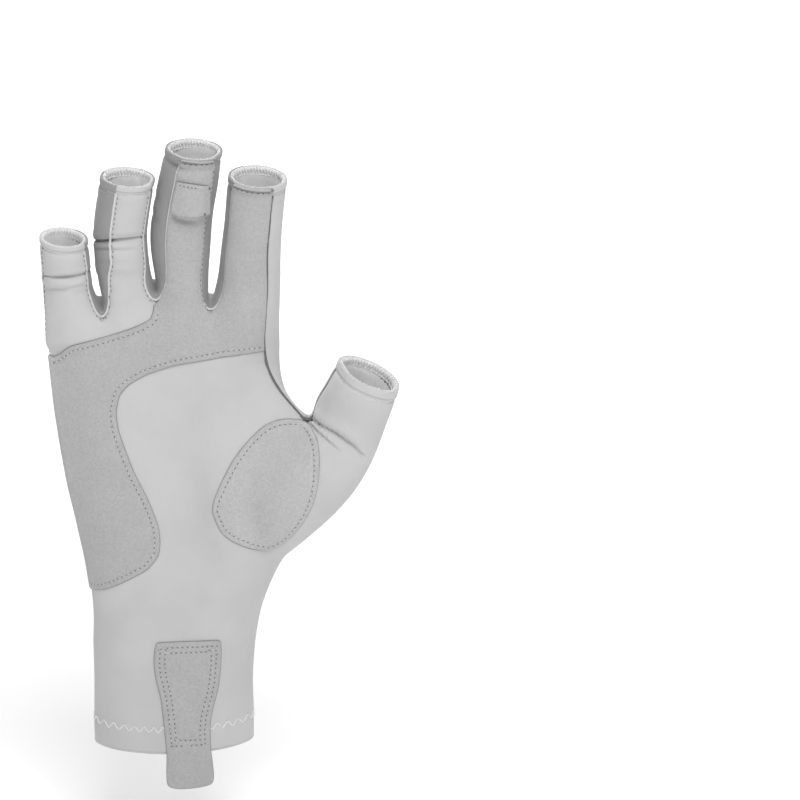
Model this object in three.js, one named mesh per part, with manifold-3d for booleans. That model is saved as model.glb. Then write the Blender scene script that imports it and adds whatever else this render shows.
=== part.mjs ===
// Sun glove for the right hand, open fingertips, filled out as when worn.
// Millimetres. The origin is the middle of the wrist opening, +Z runs towards the fingers,
// -Y is the palm side and +X is the thumb side.
import * as THREE from 'three';
import Module from 'manifold-3d';

const KNIT_WALL = 1.2;
const HEM_WALL = 1.7;
const SUEDE_WALL = 0.9;
const SEAM_GAP = 0.3;
const FOURCHETTE_DRAW_IN = 0.3;
const SUEDE_LIFT = 0.3;
const SIDE_LINE_Y = -0.6;

// The pull band lies on the finger at its sewn upper edge and arches away towards its free edge.
const LOOP = { lift: 1.5, arch: 2.2, seamZ: 233.5, drop: 13, crestShift: 1.6, span: 0.68, drawIn: 1.6 };

// The pull tab follows the cuff down to tabLeavesZ and leans a little away from there.
const TAB_LIFT = 0.35;
const TAB_LEAVES_Z = 1.5;
const TAB_LEAN = 0.06;

// How far the suede's cloth edges stand back from the seams beside them.
const PALM_PATCH_DRAW_IN = 0.6;
const BALL_PATCH_DRAW_IN = 0.3;

// A finger section's left and right ends stand a little above and below its middle.
const SECTION_RISE_LEFT = 1.2;
const SECTION_RISE_RIGHT = -0.6;

// Palm share at which the depth has passed from the hollow to the pads on both sides of it.
const PAD_SHARE = 0.66;

const FIT_ROUNDS = 8;
const SHARPEST_CORNER = 0.2;
const NEAR_ZERO = 1e-9;

const KNIT = { color: 0xbfc0c2, roughness: 0.88, metalness: 0 };
const SIDE_KNIT = { color: 0xa9aaad, roughness: 0.9, metalness: 0 };
const HEM_KNIT = { color: 0xcfd0d1, roughness: 0.88, metalness: 0 };
const SUEDE = { color: 0xb2b0af, roughness: 0.95, metalness: 0 };

// Share of the half width at which each of the nine palm columns stands, little finger first.
const COLUMN_SHARE = [-0.93, -0.74, -0.5, -0.27, -0.04, 0.185, 0.405, 0.68, 0.91];
const FRONT_COLUMNS = COLUMN_SHARE.length;
const THUMB_SIDE = FRONT_COLUMNS;
const LITTLE_SIDE = 2 * FRONT_COLUMNS + 1;
const RING_SIZE = 2 * FRONT_COLUMNS + 2;

// Hand sections from the wrist to the finger roots. left and right are the side edges, back the
// rise of the back, ulnar, middle and radial the depth of the palm at its little finger side, its
// hollow and its thumb side, power the squareness of the section, seam the place of the closing
// seam, which runs up the little finger side a little towards the palm, and edge the share of the
// half width at which the palm meets the gusset.
const HAND_ROWS = [
  { z: 0, left: -32.6, right: 32.6, back: 20.5, ulnar: 20.0, middle: 20.5, radial: 20.0, power: 2.0, seam: -0.6, edge: 0.91 },
  { z: 11, left: -32.5, right: 32.5, back: 20.5, ulnar: 20.0, middle: 20.5, radial: 20.0, power: 2.0, seam: -0.6, edge: 0.91 },
  { z: 32, left: -32.1, right: 32.9, back: 19.0, ulnar: 19.4, middle: 19.5, radial: 19.8, power: 2.0, seam: -0.8, edge: 0.91 },
  { z: 54, left: -31.9, right: 36.1, back: 17.0, ulnar: 18.9, middle: 17.6, radial: 21.4, power: 2.1, seam: -1.4, edge: 0.91 },
  { z: 74, left: -33.5, right: 44.1, back: 15.5, ulnar: 18.5, middle: 15.8, radial: 23.4, power: 2.2, seam: -2.4, edge: 0.91 },
  { z: 93, left: -37.0, right: 46.1, back: 15.0, ulnar: 17.6, middle: 14.4, radial: 24.0, power: 2.3, seam: -3.2, edge: 0.91 },
  { z: 113, left: -41.0, right: 47.0, back: 15.0, ulnar: 16.2, middle: 13.4, radial: 22.0, power: 2.4, seam: -3.8, edge: 0.91 },
  { z: 133, left: -44.0, right: 47.0, back: 14.8, ulnar: 15.0, middle: 13.2, radial: 18.0, power: 2.4, seam: -4.2, edge: 0.91 },
  { z: 150, left: -46.2, right: 45.6, back: 14.4, ulnar: 14.4, middle: 13.6, radial: 15.6, power: 2.4, seam: -4.4, edge: 0.935 },
  { z: 164, left: -47.3, right: 44.8, back: 13.8, ulnar: 14.2, middle: 14.4, radial: 14.8, power: 2.4, seam: -4.4, edge: 0.87 },
];
const CUFF_ROWS = 1;
const THUMB_ROW = 5;

// The row at the finger roots: height and front and back of each palm column, and how much
// higher its back stands.
const ROOT_ROW = [
  { x: -45.2, z: 169.5, front: -9.0, back: 8.0, rise: 0 },
  { x: -36.6, z: 172.0, front: -13.2, back: 11.4, rise: 1.5 },
  { x: -24.4, z: 178.0, front: -10.6, back: 9.6, rise: 4 },
  { x: -14.6, z: 178.0, front: -14.2, back: 12.6, rise: 2.5 },
  { x: -3.6, z: 184.4, front: -11.0, back: 10.4, rise: 3.5 },
  { x: 6.9, z: 182.0, front: -14.8, back: 13.2, rise: 2 },
  { x: 17.2, z: 180.2, front: -10.8, back: 10.2, rise: 1.5 },
  { x: 30.6, z: 177.5, front: -14.4, back: 12.6, rise: 0.5 },
  { x: 39.0, z: 174.0, front: -10.2, back: 8.6, rise: 0 },
];
const ROOT_LITTLE_SIDE = { x: -47.3, y: -4.2, z: 169.2 };
const ROOT_THUMB_SIDE = { x: 44.7, y: -0.6, z: 173.5 };

// Lowest point of each finger fork, midway between palm and back.
const FORKS = [
  { x: -24.4, y: -0.8, z: 180.4 },
  { x: -3.6, y: -0.6, z: 186.8 },
  { x: 17.2, y: -0.8, z: 181.0 },
];

// Finger sections from the fork to the tip. left and right are the side edges as seen from the
// palm, depth is palm to back, y the middle, curl the lean of the section towards the palm in
// degrees and pinch the depth of a flexing fold on the palm side. front is half the angle that
// the strip of the palm side covers and twist the turn of the whole section in degrees.
const FINGERS = [
  {
    name: 'little',
    front: 45,
    rings: [
      { z: 186.8, left: -47.9, right: -27.4, depth: 18.6, y: -2.8, curl: 7, pinch: 0, twist: 14 },
      { z: 191.0, left: -48.2, right: -28.4, depth: 18.2, y: -3.9, curl: 9, pinch: 0.5, twist: 17 },
      { z: 194.0, left: -48.3, right: -28.6, depth: 18.0, y: -4.8, curl: 11, pinch: 0, twist: 18 },
      { z: 196.8, left: -48.1, right: -28.9, depth: 17.8, y: -5.7, curl: 13, pinch: 1.5, twist: 18 },
      { z: 200.0, left: -48.3, right: -29.0, depth: 17.6, y: -6.6, curl: 14, pinch: 0, twist: 18 },
      { z: 207.0, left: -48.3, right: -29.6, depth: 17.4, y: -8.8, curl: 15.5, pinch: 0, twist: 18 },
      { z: 209.6, left: -48.3, right: -29.8, depth: 17.3, y: -9.6, curl: 16, pinch: 0, twist: 18 },
    ],
  },
  {
    name: 'ring',
    front: 43,
    rings: [
      { z: 192.6, left: -26.8, right: -5.0, depth: 20.4, y: -2.7, curl: 5, pinch: 0.5, twist: 8 },
      { z: 198.6, left: -27.3, right: -5.9, depth: 20.0, y: -3.9, curl: 7, pinch: 0, twist: 18 },
      { z: 203.8, left: -27.4, right: -6.4, depth: 19.8, y: -5.2, curl: 9, pinch: 0, twist: 21 },
      { z: 207.8, left: -27.5, right: -6.6, depth: 19.6, y: -6.2, curl: 10, pinch: 0.8, twist: 21 },
      { z: 211.6, left: -27.2, right: -6.6, depth: 19.4, y: -7.4, curl: 12, pinch: 1.7, twist: 21 },
      { z: 215.2, left: -26.9, right: -6.1, depth: 19.2, y: -8.4, curl: 13, pinch: 0, twist: 21 },
      { z: 222.4, left: -25.9, right: -5.0, depth: 18.8, y: -10.6, curl: 14, pinch: 0, twist: 21 },
      { z: 231.0, left: -24.3, right: -3.5, depth: 18.4, y: -13.2, curl: 15.5, pinch: 0, twist: 21 },
      { z: 233.9, left: -23.6, right: -2.9, depth: 18.2, y: -14.1, curl: 16, pinch: 0, twist: 21 },
    ],
  },
  {
    name: 'middle',
    front: 40,
    rings: [
      { z: 193.6, left: -4.3, right: 17.2, depth: 21.2, y: -2.3, curl: 4, pinch: 0.6, twist: 6 },
      { z: 202.4, left: -5.2, right: 17.8, depth: 20.9, y: -3.7, curl: 7, pinch: 0, twist: 10 },
      { z: 213.0, left: -5.0, right: 18.6, depth: 20.6, y: -6.0, curl: 10, pinch: 0, twist: 10 },
      { z: 224.0, left: -3.4, right: 20.2, depth: 20.2, y: -9.0, curl: 13, pinch: 0, twist: 10 },
      { z: 234.6, left: -1.0, right: 21.8, depth: 19.8, y: -12.1, curl: 15, pinch: 0, twist: 10 },
      { z: 241.8, left: 0.8, right: 22.8, depth: 19.4, y: -14.1, curl: 16, pinch: 0, twist: 10 },
      { z: 244.8, left: 1.6, right: 23.2, depth: 19.2, y: -14.9, curl: 16.5, pinch: 0, twist: 10 },
    ],
  },
  {
    name: 'index',
    front: 45,
    rings: [
      { z: 188.4, left: 20.0, right: 45.0, depth: 21.8, y: -2.1, curl: 4, pinch: 0.3, twist: -8 },
      { z: 196.8, left: 21.4, right: 45.2, depth: 21.4, y: -3.5, curl: 6, pinch: 0, twist: -11 },
      { z: 205.6, left: 22.5, right: 45.6, depth: 21.0, y: -5.5, curl: 9, pinch: 0, twist: -13 },
      { z: 214.4, left: 23.4, right: 46.2, depth: 20.8, y: -8.0, curl: 12, pinch: 0, twist: -13 },
      { z: 222.8, left: 24.2, right: 47.0, depth: 20.6, y: -10.4, curl: 14.5, pinch: 0, twist: -13 },
      { z: 230.2, left: 25.0, right: 47.8, depth: 20.4, y: -12.8, curl: 16, pinch: 0, twist: -13 },
      { z: 233.5, left: 25.4, right: 48.0, depth: 20.2, y: -13.8, curl: 16.5, pinch: 0, twist: -13 },
    ],
  },
];

// Turns of the last four lengthwise lines of a finger, over the back to the left side.
const BACK_TURNS = [-45, -90, -135, 180];

// Edge of the thumb's opening in the hand, in the order of a finger ring.
const THUMB_ROOT = [
  [53.4, -12.2, 137.3],
  [46.2, -24.6, 114.0],
  [44.8, -21.4, 90.6],
  [52.2, -7.4, 83.8],
  [45.8, 7.4, 90.6],
  [52.0, 10.4, 112.0],
  [48.0, 9.0, 131.0],
  [51.4, -2.6, 133.2],
];

// Thumb sections. inner and outer are the points facing the index finger and away from it, and
// turns the places of its eight lengthwise lines round it, the palm side's seam first.
const THUMB = {
  name: 'thumb',
  twist: -12,
  turns: [168, 107, 46, 0, -45, -90, -135, -164],
  rings: [
    { inner: [58.3, 141.1], outer: [71.2, 102.3], y: -8.6, depth: 30.0, curl: 8, pinch: 0.8 },
    { inner: [61.5, 148.0], outer: [82.4, 122.4], y: -11.0, depth: 26.6, curl: 11, pinch: 1.6 },
    { inner: [64.2, 153.6], outer: [87.2, 136.2], y: -12.8, depth: 24.2, curl: 13, pinch: 0 },
    { inner: [66.1, 157.2], outer: [90.2, 144.9], y: -13.6, depth: 23.0, curl: 14, pinch: 0 },
    { inner: [67.7, 160.4], outer: [91.4, 149.2], y: -14.2, depth: 22.0, curl: 15, pinch: 0 },
  ],
};

// Outlines of the suede pieces seen from the palm, [x, z], and how tautly their curves run.
const PALM_PATCH_EDGE = [
  [-60, 160], [-44.2, 162.0], [-37.0, 167.1], [-24.1, 171.0], [-11.9, 175.2], [-6.1, 177.9],
  [-4.6, 181.6], [-4.4, 187.0], [-8, 200], [-8, 262], [60, 262], [60, 164.2],
  [38.6, 163.6], [22.6, 162.6], [12.8, 161.1], [2.5, 159.3], [-7.3, 156.2], [-14.4, 152.3],
  [-18.6, 147.7], [-20.2, 140.8], [-19.5, 133.6], [-16.9, 125.2], [-13.2, 115.2], [-8.3, 105.0],
  [-4.6, 94.5], [-3.9, 87.5], [-4.8, 82.0], [-8.9, 76.9], [-15.3, 73.2], [-24.5, 68.3],
  [-30.2, 66.2], [-60, 62],
];
const THUMB_PATCH_EDGE = [
  [49.1, 137.0], [54.9, 135.1], [58.4, 130.0], [59.4, 120.6], [57.9, 108.0], [53.8, 97.8],
  [47.4, 89.2], [41.5, 84.8], [37.5, 84.1], [29.4, 86.5], [21.4, 91.4], [17.6, 98.5],
  [17.1, 103.4], [20.8, 112.8], [27.0, 123.3], [34.1, 131.3], [41.0, 136.0],
];
const PULL_TAB_EDGE = [
  [-6.5, 45.2], [-3.7, 46.6], [17.6, 46.8], [19.7, 43.8], [19.6, 36.6], [18.5, 26.9],
  [16.0, 17.2], [14.9, 10.8], [14.9, 1.4], [15.9, -10.3], [14.3, -14.1], [2.5, -14.7],
  [-2.4, -13.3], [-3.1, -8.5], [-2.9, 0.5], [-3.8, 12.5], [-4.8, 22.8], [-6.6, 31.3],
  [-7.3, 37.8],
];
const FINGER_LOOP_EDGE = [
  [-6, 236.2], [4.4, 234.2], [18.1, 231.8], [30, 231.4], [30, 219.9],
  [16.4, 219.9], [10.7, 219.5], [5.7, 220.1], [1.5, 221.4], [-6, 223.4],
];
const TAB_GRID = { left: -10, right: 22, bottom: -17, top: 49, across: 6, up: 10 };
const PRISM_DEPTH = 70;
const EDGE_TENSION = { palm: 0.3, ball: 0.5, loop: 0, tab: 0.4 };

const radians = THREE.MathUtils.degToRad;
const vector = (x, y, z) => new THREE.Vector3(x, y, z);

function palmDepth(row, share) {
  const towards = share < 0 ? row.ulnar : row.radial;
  const weight = 0.5 - 0.5 * Math.cos(Math.PI * Math.min(1, Math.abs(share) / PAD_SHARE));
  return row.middle + (towards - row.middle) * weight;
}

function handPoint(row, column) {
  const centre = (row.left + row.right) / 2;
  const half = (row.right - row.left) / 2;
  if (column === THUMB_SIDE) {
    return vector(row.right, SIDE_LINE_Y, row.z);
  }
  if (column === LITTLE_SIDE) {
    const reach = (1 - Math.abs(row.seam / row.ulnar) ** row.power) ** (1 / row.power);
    return vector(centre - half * reach, row.seam, row.z);
  }
  const front = column < FRONT_COLUMNS;
  const atGusset = column === FRONT_COLUMNS - 1;
  const share = atGusset ? row.edge : COLUMN_SHARE[front ? column : RING_SIZE - 2 - column];
  const profile = (1 - Math.abs(share) ** row.power) ** (1 / row.power);
  const y = front ? -palmDepth(row, share) * profile : row.back * profile;
  return vector(centre + half * share, y, row.z);
}

function rootPoint(column) {
  if (column === THUMB_SIDE) {
    return vector(ROOT_THUMB_SIDE.x, ROOT_THUMB_SIDE.y, ROOT_THUMB_SIDE.z);
  }
  if (column === LITTLE_SIDE) {
    return vector(ROOT_LITTLE_SIDE.x, ROOT_LITTLE_SIDE.y, ROOT_LITTLE_SIDE.z);
  }
  const front = column < FRONT_COLUMNS;
  const entry = ROOT_ROW[front ? column : RING_SIZE - 2 - column];
  return vector(entry.x, front ? entry.front : entry.back, front ? entry.z : entry.z + entry.rise);
}

// Eight points round a finger at the given turns: over the palm side from left to right, then on
// round the back.
function ringPoints(inner, outer, { y, depth, curl, pinch }, twist, turns) {
  const centre = vector((inner[0] + outer[0]) / 2, y, (inner[1] + outer[1]) / 2);
  const across = vector((outer[0] - inner[0]) / 2, 0, (outer[1] - inner[1]) / 2);
  const lengthwise = vector(-across.z, 0, across.x).normalize();
  const forward = vector(0, -Math.cos(radians(curl)), 0);
  forward.addScaledVector(lengthwise, -Math.sin(radians(curl)));
  forward.multiplyScalar(depth / 2);
  const points = [];
  for (const turn of turns) {
    const angle = radians(turn - twist);
    const fold = 1 - (2 * pinch / depth) * Math.max(0, Math.sin(angle));
    const point = centre.clone();
    point.addScaledVector(across, Math.cos(angle));
    point.addScaledVector(forward, Math.sin(angle) * fold);
    points.push(point);
  }
  return points;
}

// The coarse surface: points, quads facing out, and the node and zone that each quad belongs to.
function coarseSurface() {
  const points = [];
  const quads = [];
  const add = (point) => points.push(point) - 1;
  const connect = (lower, upper, panelAt, zoneAt) => {
    for (let j = 0; j < lower.length; j += 1) {
      const next = (j + 1) % lower.length;
      const corners = [lower[j], lower[next], upper[next], upper[j]];
      quads.push({ corners, panel: panelAt(j), zone: zoneAt(j) });
    }
  };

  const rows = HAND_ROWS.map((row, index) => {
    const ring = [];
    for (let column = 0; column < RING_SIZE; column += 1) {
      ring.push(handPoint(row, column));
    }
    if (index >= THUMB_ROW && index <= THUMB_ROW + 2) {
      const step = THUMB_ROW + 2 - index;
      ring[THUMB_SIDE - 1] = vector(...THUMB_ROOT[step]);
      ring[THUMB_SIDE + 1] = vector(...THUMB_ROOT[[6, 5, 4][step]]);
      ring[THUMB_SIDE] = vector(...THUMB_ROOT[step === 2 ? 3 : 7]);
    }
    return ring;
  });
  const rowIds = rows.map((ring) => ring.map(add));
  const root = [];
  for (let column = 0; column < RING_SIZE; column += 1) {
    root.push(add(rootPoint(column)));
  }
  rowIds.push(root);
  const forks = FORKS.map((fork) => add(vector(fork.x, fork.y, fork.z)));

  const thumbRows = [THUMB_ROW, THUMB_ROW + 1];
  for (let k = 0; k + 1 < rowIds.length; k += 1) {
    for (let j = 0; j < RING_SIZE; j += 1) {
      const besideThumb = j === THUMB_SIDE - 1 || j === THUMB_SIDE;
      if (thumbRows.includes(k) && besideThumb) {
        continue;
      }
      const next = (j + 1) % RING_SIZE;
      let panel = 'main_panel';
      if (k < CUFF_ROWS) {
        panel = 'cuff_hem';
      } else if (k > THUMB_ROW + 1 && besideThumb) {
        panel = 'thumb_gusset';
      }
      let zone = j < THUMB_SIDE ? 'palm' : 'back';
      if (j === LITTLE_SIDE) {
        zone = 'little_side_front';
      } else if (j === LITTLE_SIDE - 1) {
        zone = 'little_side_back';
      }
      quads.push({
        corners: [rowIds[k][j], rowIds[k][next], rowIds[k + 1][next], rowIds[k + 1][j]],
        panel,
        zone,
      });
    }
  }

  const forkNames = ['fourchette_ring_little', 'fourchette_middle_ring', 'fourchette_index_middle'];
  FINGERS.forEach((finger, f) => {
    const back = RING_SIZE - 2 - 2 * f;
    const rightSide = f === 3 ? root[THUMB_SIDE] : forks[f];
    const leftSide = f === 0 ? root[LITTLE_SIDE] : forks[f - 1];
    let lower = [root[2 * f], root[2 * f + 1], root[2 * f + 2], rightSide, root[back - 2], root[back - 1],
      root[back], leftSide];
    finger.rings.forEach((ring, level) => {
      const inner = [ring.left, ring.z + SECTION_RISE_LEFT];
      const outer = [ring.right, ring.z + SECTION_RISE_RIGHT];
      const turns = [90 + finger.front, 90, 90 - finger.front, 0, ...BACK_TURNS];
      const upper = ringPoints(inner, outer, ring, ring.twist, turns).map(add);
      const hem = level === finger.rings.length - 1;
      const panelAt = (j) => {
        if (hem) {
          return `${finger.name}_hem`;
        }
        if (j === 2 || j === 3) {
          return f === 3 ? 'thumb_gusset' : forkNames[f];
        }
        if (j === 6 || j === 7) {
          return f === 0 ? 'main_panel' : forkNames[f - 1];
        }
        return 'main_panel';
      };
      const zoneAt = (j) => {
        if (f === 0 && !hem && j === 7) {
          return 'little_side_front';
        }
        if (f === 0 && !hem && j === 6) {
          return 'little_side_back';
        }
        return j < 2 ? `${finger.name}_front` : `${finger.name}_round`;
      };
      connect(lower, upper, panelAt, zoneAt);
      lower = upper;
    });
  });

  const top = rowIds[THUMB_ROW + 2];
  const middle = rowIds[THUMB_ROW + 1];
  const bottom = rowIds[THUMB_ROW];
  let lower = [top[THUMB_SIDE - 1], middle[THUMB_SIDE - 1], bottom[THUMB_SIDE - 1], bottom[THUMB_SIDE],
    bottom[THUMB_SIDE + 1], middle[THUMB_SIDE + 1], top[THUMB_SIDE + 1], top[THUMB_SIDE]];
  THUMB.rings.forEach((ring, level) => {
    const upper = ringPoints(ring.inner, ring.outer, ring, THUMB.twist, THUMB.turns).map(add);
    const hem = level === THUMB.rings.length - 1;
    const panelAt = (j) => {
      if (hem) {
        return 'thumb_hem';
      }
      return j >= 5 ? 'thumb_gusset' : 'main_panel';
    };
    connect(lower, upper, panelAt, (j) => (j < 3 ? 'thumb_front' : 'thumb_round'));
    lower = upper;
  });
  return compact({ points, quads });
}

// Drops the points that no quad uses.
function compact(surface) {
  const used = new Map();
  const points = [];
  for (const quad of surface.quads) {
    quad.corners = quad.corners.map((corner) => {
      if (!used.has(corner)) {
        used.set(corner, points.push(surface.points[corner]) - 1);
      }
      return used.get(corner);
    });
  }
  return { points, quads: surface.quads };
}

const edgeKey = (a, b) => (a < b ? `${a}_${b}` : `${b}_${a}`);

// Edges with the quads that share them, and the edges and quads round each point.
function topology(surface) {
  const edges = new Map();
  const round = surface.points.map(() => ({ edges: new Set(), quads: [] }));
  surface.quads.forEach((quad, q) => {
    quad.corners.forEach((corner, k) => {
      const next = quad.corners[(k + 1) % 4];
      const key = edgeKey(corner, next);
      if (!edges.has(key)) {
        edges.set(key, { ends: [corner, next], quads: [] });
      }
      edges.get(key).quads.push(q);
      round[corner].edges.add(key);
      round[next].edges.add(key);
      round[corner].quads.push(q);
    });
  });
  return { edges, round };
}

// Where each point comes to lie on the smooth surface of endless subdivision.
function limitPoints(surface, net) {
  return surface.points.map((point, id) => {
    const around = [...net.round[id].edges].map((key) => net.edges.get(key));
    const rim = around.filter((edge) => edge.quads.length === 1);
    const other = (edge) => surface.points[edge.ends[0] === id ? edge.ends[1] : edge.ends[0]];
    if (rim.length > 0) {
      const result = point.clone().multiplyScalar(4);
      rim.forEach((edge) => result.add(other(edge)));
      return result.divideScalar(4 + rim.length);
    }
    const n = around.length;
    const result = point.clone().multiplyScalar(n * n);
    around.forEach((edge) => result.addScaledVector(other(edge), 4));
    net.round[id].quads.forEach((q) => {
      const corners = surface.quads[q].corners;
      result.add(surface.points[corners[(corners.indexOf(id) + 2) % 4]]);
    });
    return result.divideScalar(n * (n + 5));
  });
}

// Moves the points of the coarse surface until its smooth surface passes through their places.
function fitThroughPoints(surface, rounds) {
  const targets = surface.points.map((point) => point.clone());
  const net = topology(surface);
  for (let k = 0; k < rounds; k += 1) {
    const limits = limitPoints(surface, net);
    surface.points.forEach((point, id) => {
      point.add(targets[id]).sub(limits[id]);
    });
  }
}

// One step of smooth subdivision, every quad into four.
function subdivide(surface) {
  const net = topology(surface);
  const points = [];
  const quadCentres = surface.quads.map((quad) => {
    const centre = vector(0, 0, 0);
    quad.corners.forEach((corner) => centre.addScaledVector(surface.points[corner], 0.25));
    return points.push(centre) - 1;
  });
  const edgeIds = new Map();
  for (const [key, edge] of net.edges) {
    const middle = surface.points[edge.ends[0]].clone().add(surface.points[edge.ends[1]]);
    if (edge.quads.length === 1) {
      middle.multiplyScalar(0.5);
    } else {
      edge.quads.forEach((q) => middle.add(points[quadCentres[q]]));
      middle.multiplyScalar(0.25);
    }
    edgeIds.set(key, points.push(middle) - 1);
  }
  const pointIds = surface.points.map((point, id) => {
    const around = [...net.round[id].edges].map((key) => net.edges.get(key));
    const rim = around.filter((edge) => edge.quads.length === 1);
    const other = (edge) => surface.points[edge.ends[0] === id ? edge.ends[1] : edge.ends[0]];
    const result = vector(0, 0, 0);
    if (rim.length > 0) {
      result.addScaledVector(point, 6);
      rim.forEach((edge) => result.add(other(edge)));
      result.divideScalar(6 + rim.length);
    } else {
      const n = around.length;
      result.addScaledVector(point, n * (n - 2));
      around.forEach((edge) => result.add(other(edge)));
      net.round[id].quads.forEach((q) => result.add(points[quadCentres[q]]));
      result.divideScalar(n * n);
    }
    return points.push(result) - 1;
  });
  const quads = [];
  surface.quads.forEach((quad, q) => {
    quad.corners.forEach((corner, k) => {
      const next = edgeIds.get(edgeKey(corner, quad.corners[(k + 1) % 4]));
      const previous = edgeIds.get(edgeKey(quad.corners[(k + 3) % 4], corner));
      quads.push({
        corners: [pointIds[corner], next, quadCentres[q], previous],
        panel: quad.panel,
        zone: quad.zone,
      });
    });
  });
  return { points, quads };
}

function pointNormals(surface) {
  const normals = surface.points.map(() => vector(0, 0, 0));
  for (const quad of surface.quads) {
    const [a, b, c, d] = quad.corners.map((corner) => surface.points[corner]);
    const normal = c.clone().sub(a).cross(d.clone().sub(b));
    quad.corners.forEach((corner) => normals[corner].add(normal));
  }
  return normals.map((normal) => normal.normalize());
}

// A layer of cloth over some quads: outer and inner faces at the given heights above the surface
// and a wall along its border, which is drawn in to leave a seam gap.
function layer(surface, normals, quads, outerHeight, innerHeight, drawIn) {
  const net = new Map();
  quads.forEach((quad, q) => {
    quad.corners.forEach((corner, k) => {
      const key = edgeKey(corner, quad.corners[(k + 1) % 4]);
      if (!net.has(key)) {
        net.set(key, []);
      }
      net.get(key).push({ q, k });
    });
  });
  const isOpen = (sides) => {
    if (sides.length < 2) {
      return true;
    }
    const zones = sides.map((side) => quads[side.q].zone);
    return zones.includes('little_side_front') && zones.includes('little_side_back');
  };

  const parent = quads.flatMap((quad, q) => quad.corners.map((corner, k) => 4 * q + k));
  const find = (id) => {
    let root = id;
    while (parent[root] !== root) {
      root = parent[root];
    }
    return root;
  };
  for (const sides of net.values()) {
    if (isOpen(sides)) {
      continue;
    }
    const [first, second] = sides;
    const start = (side) => 4 * side.q + side.k;
    const end = (side) => 4 * side.q + ((side.k + 1) % 4);
    parent[find(start(first))] = find(end(second));
    parent[find(end(first))] = find(start(second));
  }
  const ids = new Map();
  const sources = [];
  const idAt = (q, k) => {
    const root = find(4 * q + k);
    if (!ids.has(root)) {
      ids.set(root, sources.push(quads[q].corners[k]) - 1);
    }
    return ids.get(root);
  };
  const faces = quads.map((quad, q) => quad.corners.map((corner, k) => idAt(q, k)));

  const inward = sources.map(() => vector(0, 0, 0));
  const border = [];
  for (const sides of net.values()) {
    if (!isOpen(sides)) {
      continue;
    }
    for (const side of sides) {
      const a = faces[side.q][side.k];
      const b = faces[side.q][(side.k + 1) % 4];
      border.push([a, b]);
      const along = surface.points[sources[b]].clone().sub(surface.points[sources[a]]);
      [a, b].forEach((id) => {
        const direction = normals[sources[id]].clone().cross(along).normalize();
        inward[id].add(direction);
      });
    }
  }
  const place = (height) => sources.map((source, id) => {
    const point = surface.points[source].clone();
    if (inward[id].lengthSq() > NEAR_ZERO) {
      const length = inward[id].length();
      point.addScaledVector(inward[id], (2 * drawIn) / Math.max(length * length, SHARPEST_CORNER));
    }
    const lift = typeof height === 'function' ? height(surface.points[source]) : height;
    return point.addScaledVector(normals[source], lift);
  });
  const points = [...place(outerHeight), ...place(innerHeight)];
  const count = sources.length;
  const triangles = [];
  for (const face of faces) {
    const [a, b, c, d] = face;
    triangles.push([a, b, c], [a, c, d]);
    triangles.push([count + a, count + c, count + b], [count + a, count + d, count + c]);
  }
  for (const [a, b] of border) {
    triangles.push([b, a, count + a], [b, count + a, count + b]);
  }
  return { points, triangles };
}

// A closed sheet over a grid of x and z, its front and rear given as functions giving y.
function gridSheet(grid, front, thickness) {
  const points = [];
  const triangles = [];
  const size = (grid.across + 1) * (grid.up + 1);
  for (const rear of [0, thickness]) {
    for (let k = 0; k <= grid.up; k += 1) {
      for (let j = 0; j <= grid.across; j += 1) {
        const x = grid.left + ((grid.right - grid.left) * j) / grid.across;
        const z = grid.bottom + ((grid.top - grid.bottom) * k) / grid.up;
        points.push(vector(x, front(x, z) + rear, z));
      }
    }
  }
  const at = (j, k) => k * (grid.across + 1) + j;
  for (let k = 0; k < grid.up; k += 1) {
    for (let j = 0; j < grid.across; j += 1) {
      const [a, b, c, d] = [at(j, k), at(j + 1, k), at(j + 1, k + 1), at(j, k + 1)];
      triangles.push([a, b, c], [a, c, d]);
      triangles.push([size + a, size + c, size + b], [size + a, size + d, size + c]);
    }
  }
  const wall = (a, b) => triangles.push([b, a, size + a], [b, size + a, size + b]);
  for (let j = 0; j < grid.across; j += 1) {
    wall(at(j, 0), at(j + 1, 0));
    wall(at(j + 1, grid.up), at(j, grid.up));
  }
  for (let k = 0; k < grid.up; k += 1) {
    wall(at(grid.across, k), at(grid.across, k + 1));
    wall(at(0, k + 1), at(0, k));
  }
  return { points, triangles };
}

// The y of the surface's palm side at x and z.
function palmSurfaceAt(surface, quads) {
  const triangles = quads.flatMap((quad) => {
    const [a, b, c, d] = quad.corners.map((corner) => surface.points[corner]);
    return [new THREE.Triangle(a, b, c), new THREE.Triangle(a, c, d)];
  });
  const ray = new THREE.Ray(vector(0, 0, 0), vector(0, 1, 0));
  const hit = vector(0, 0, 0);
  return (x, z) => {
    ray.origin.set(x, -100, z);
    for (const triangle of triangles) {
      if (ray.intersectTriangle(triangle.a, triangle.b, triangle.c, false, hit)) {
        return hit.y;
      }
    }
    return 0;
  };
}

const wasm = await Module();
wasm.setup();

function toManifold(solid) {
  return new wasm.Manifold(new wasm.Mesh({
    numProp: 3,
    vertProperties: new Float32Array(solid.points.flatMap((point) => [point.x, point.y, point.z])),
    triVerts: new Uint32Array(solid.triangles.flat()),
  }));
}

function fromManifold(body) {
  const mesh = body.getMesh();
  const points = [];
  for (let k = 0; k < mesh.vertProperties.length; k += mesh.numProp) {
    points.push(vector(mesh.vertProperties[k], mesh.vertProperties[k + 1], mesh.vertProperties[k + 2]));
  }
  const triangles = [];
  for (let k = 0; k < mesh.triVerts.length; k += 3) {
    triangles.push([mesh.triVerts[k], mesh.triVerts[k + 1], mesh.triVerts[k + 2]]);
  }
  return { points, triangles };
}

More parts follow.
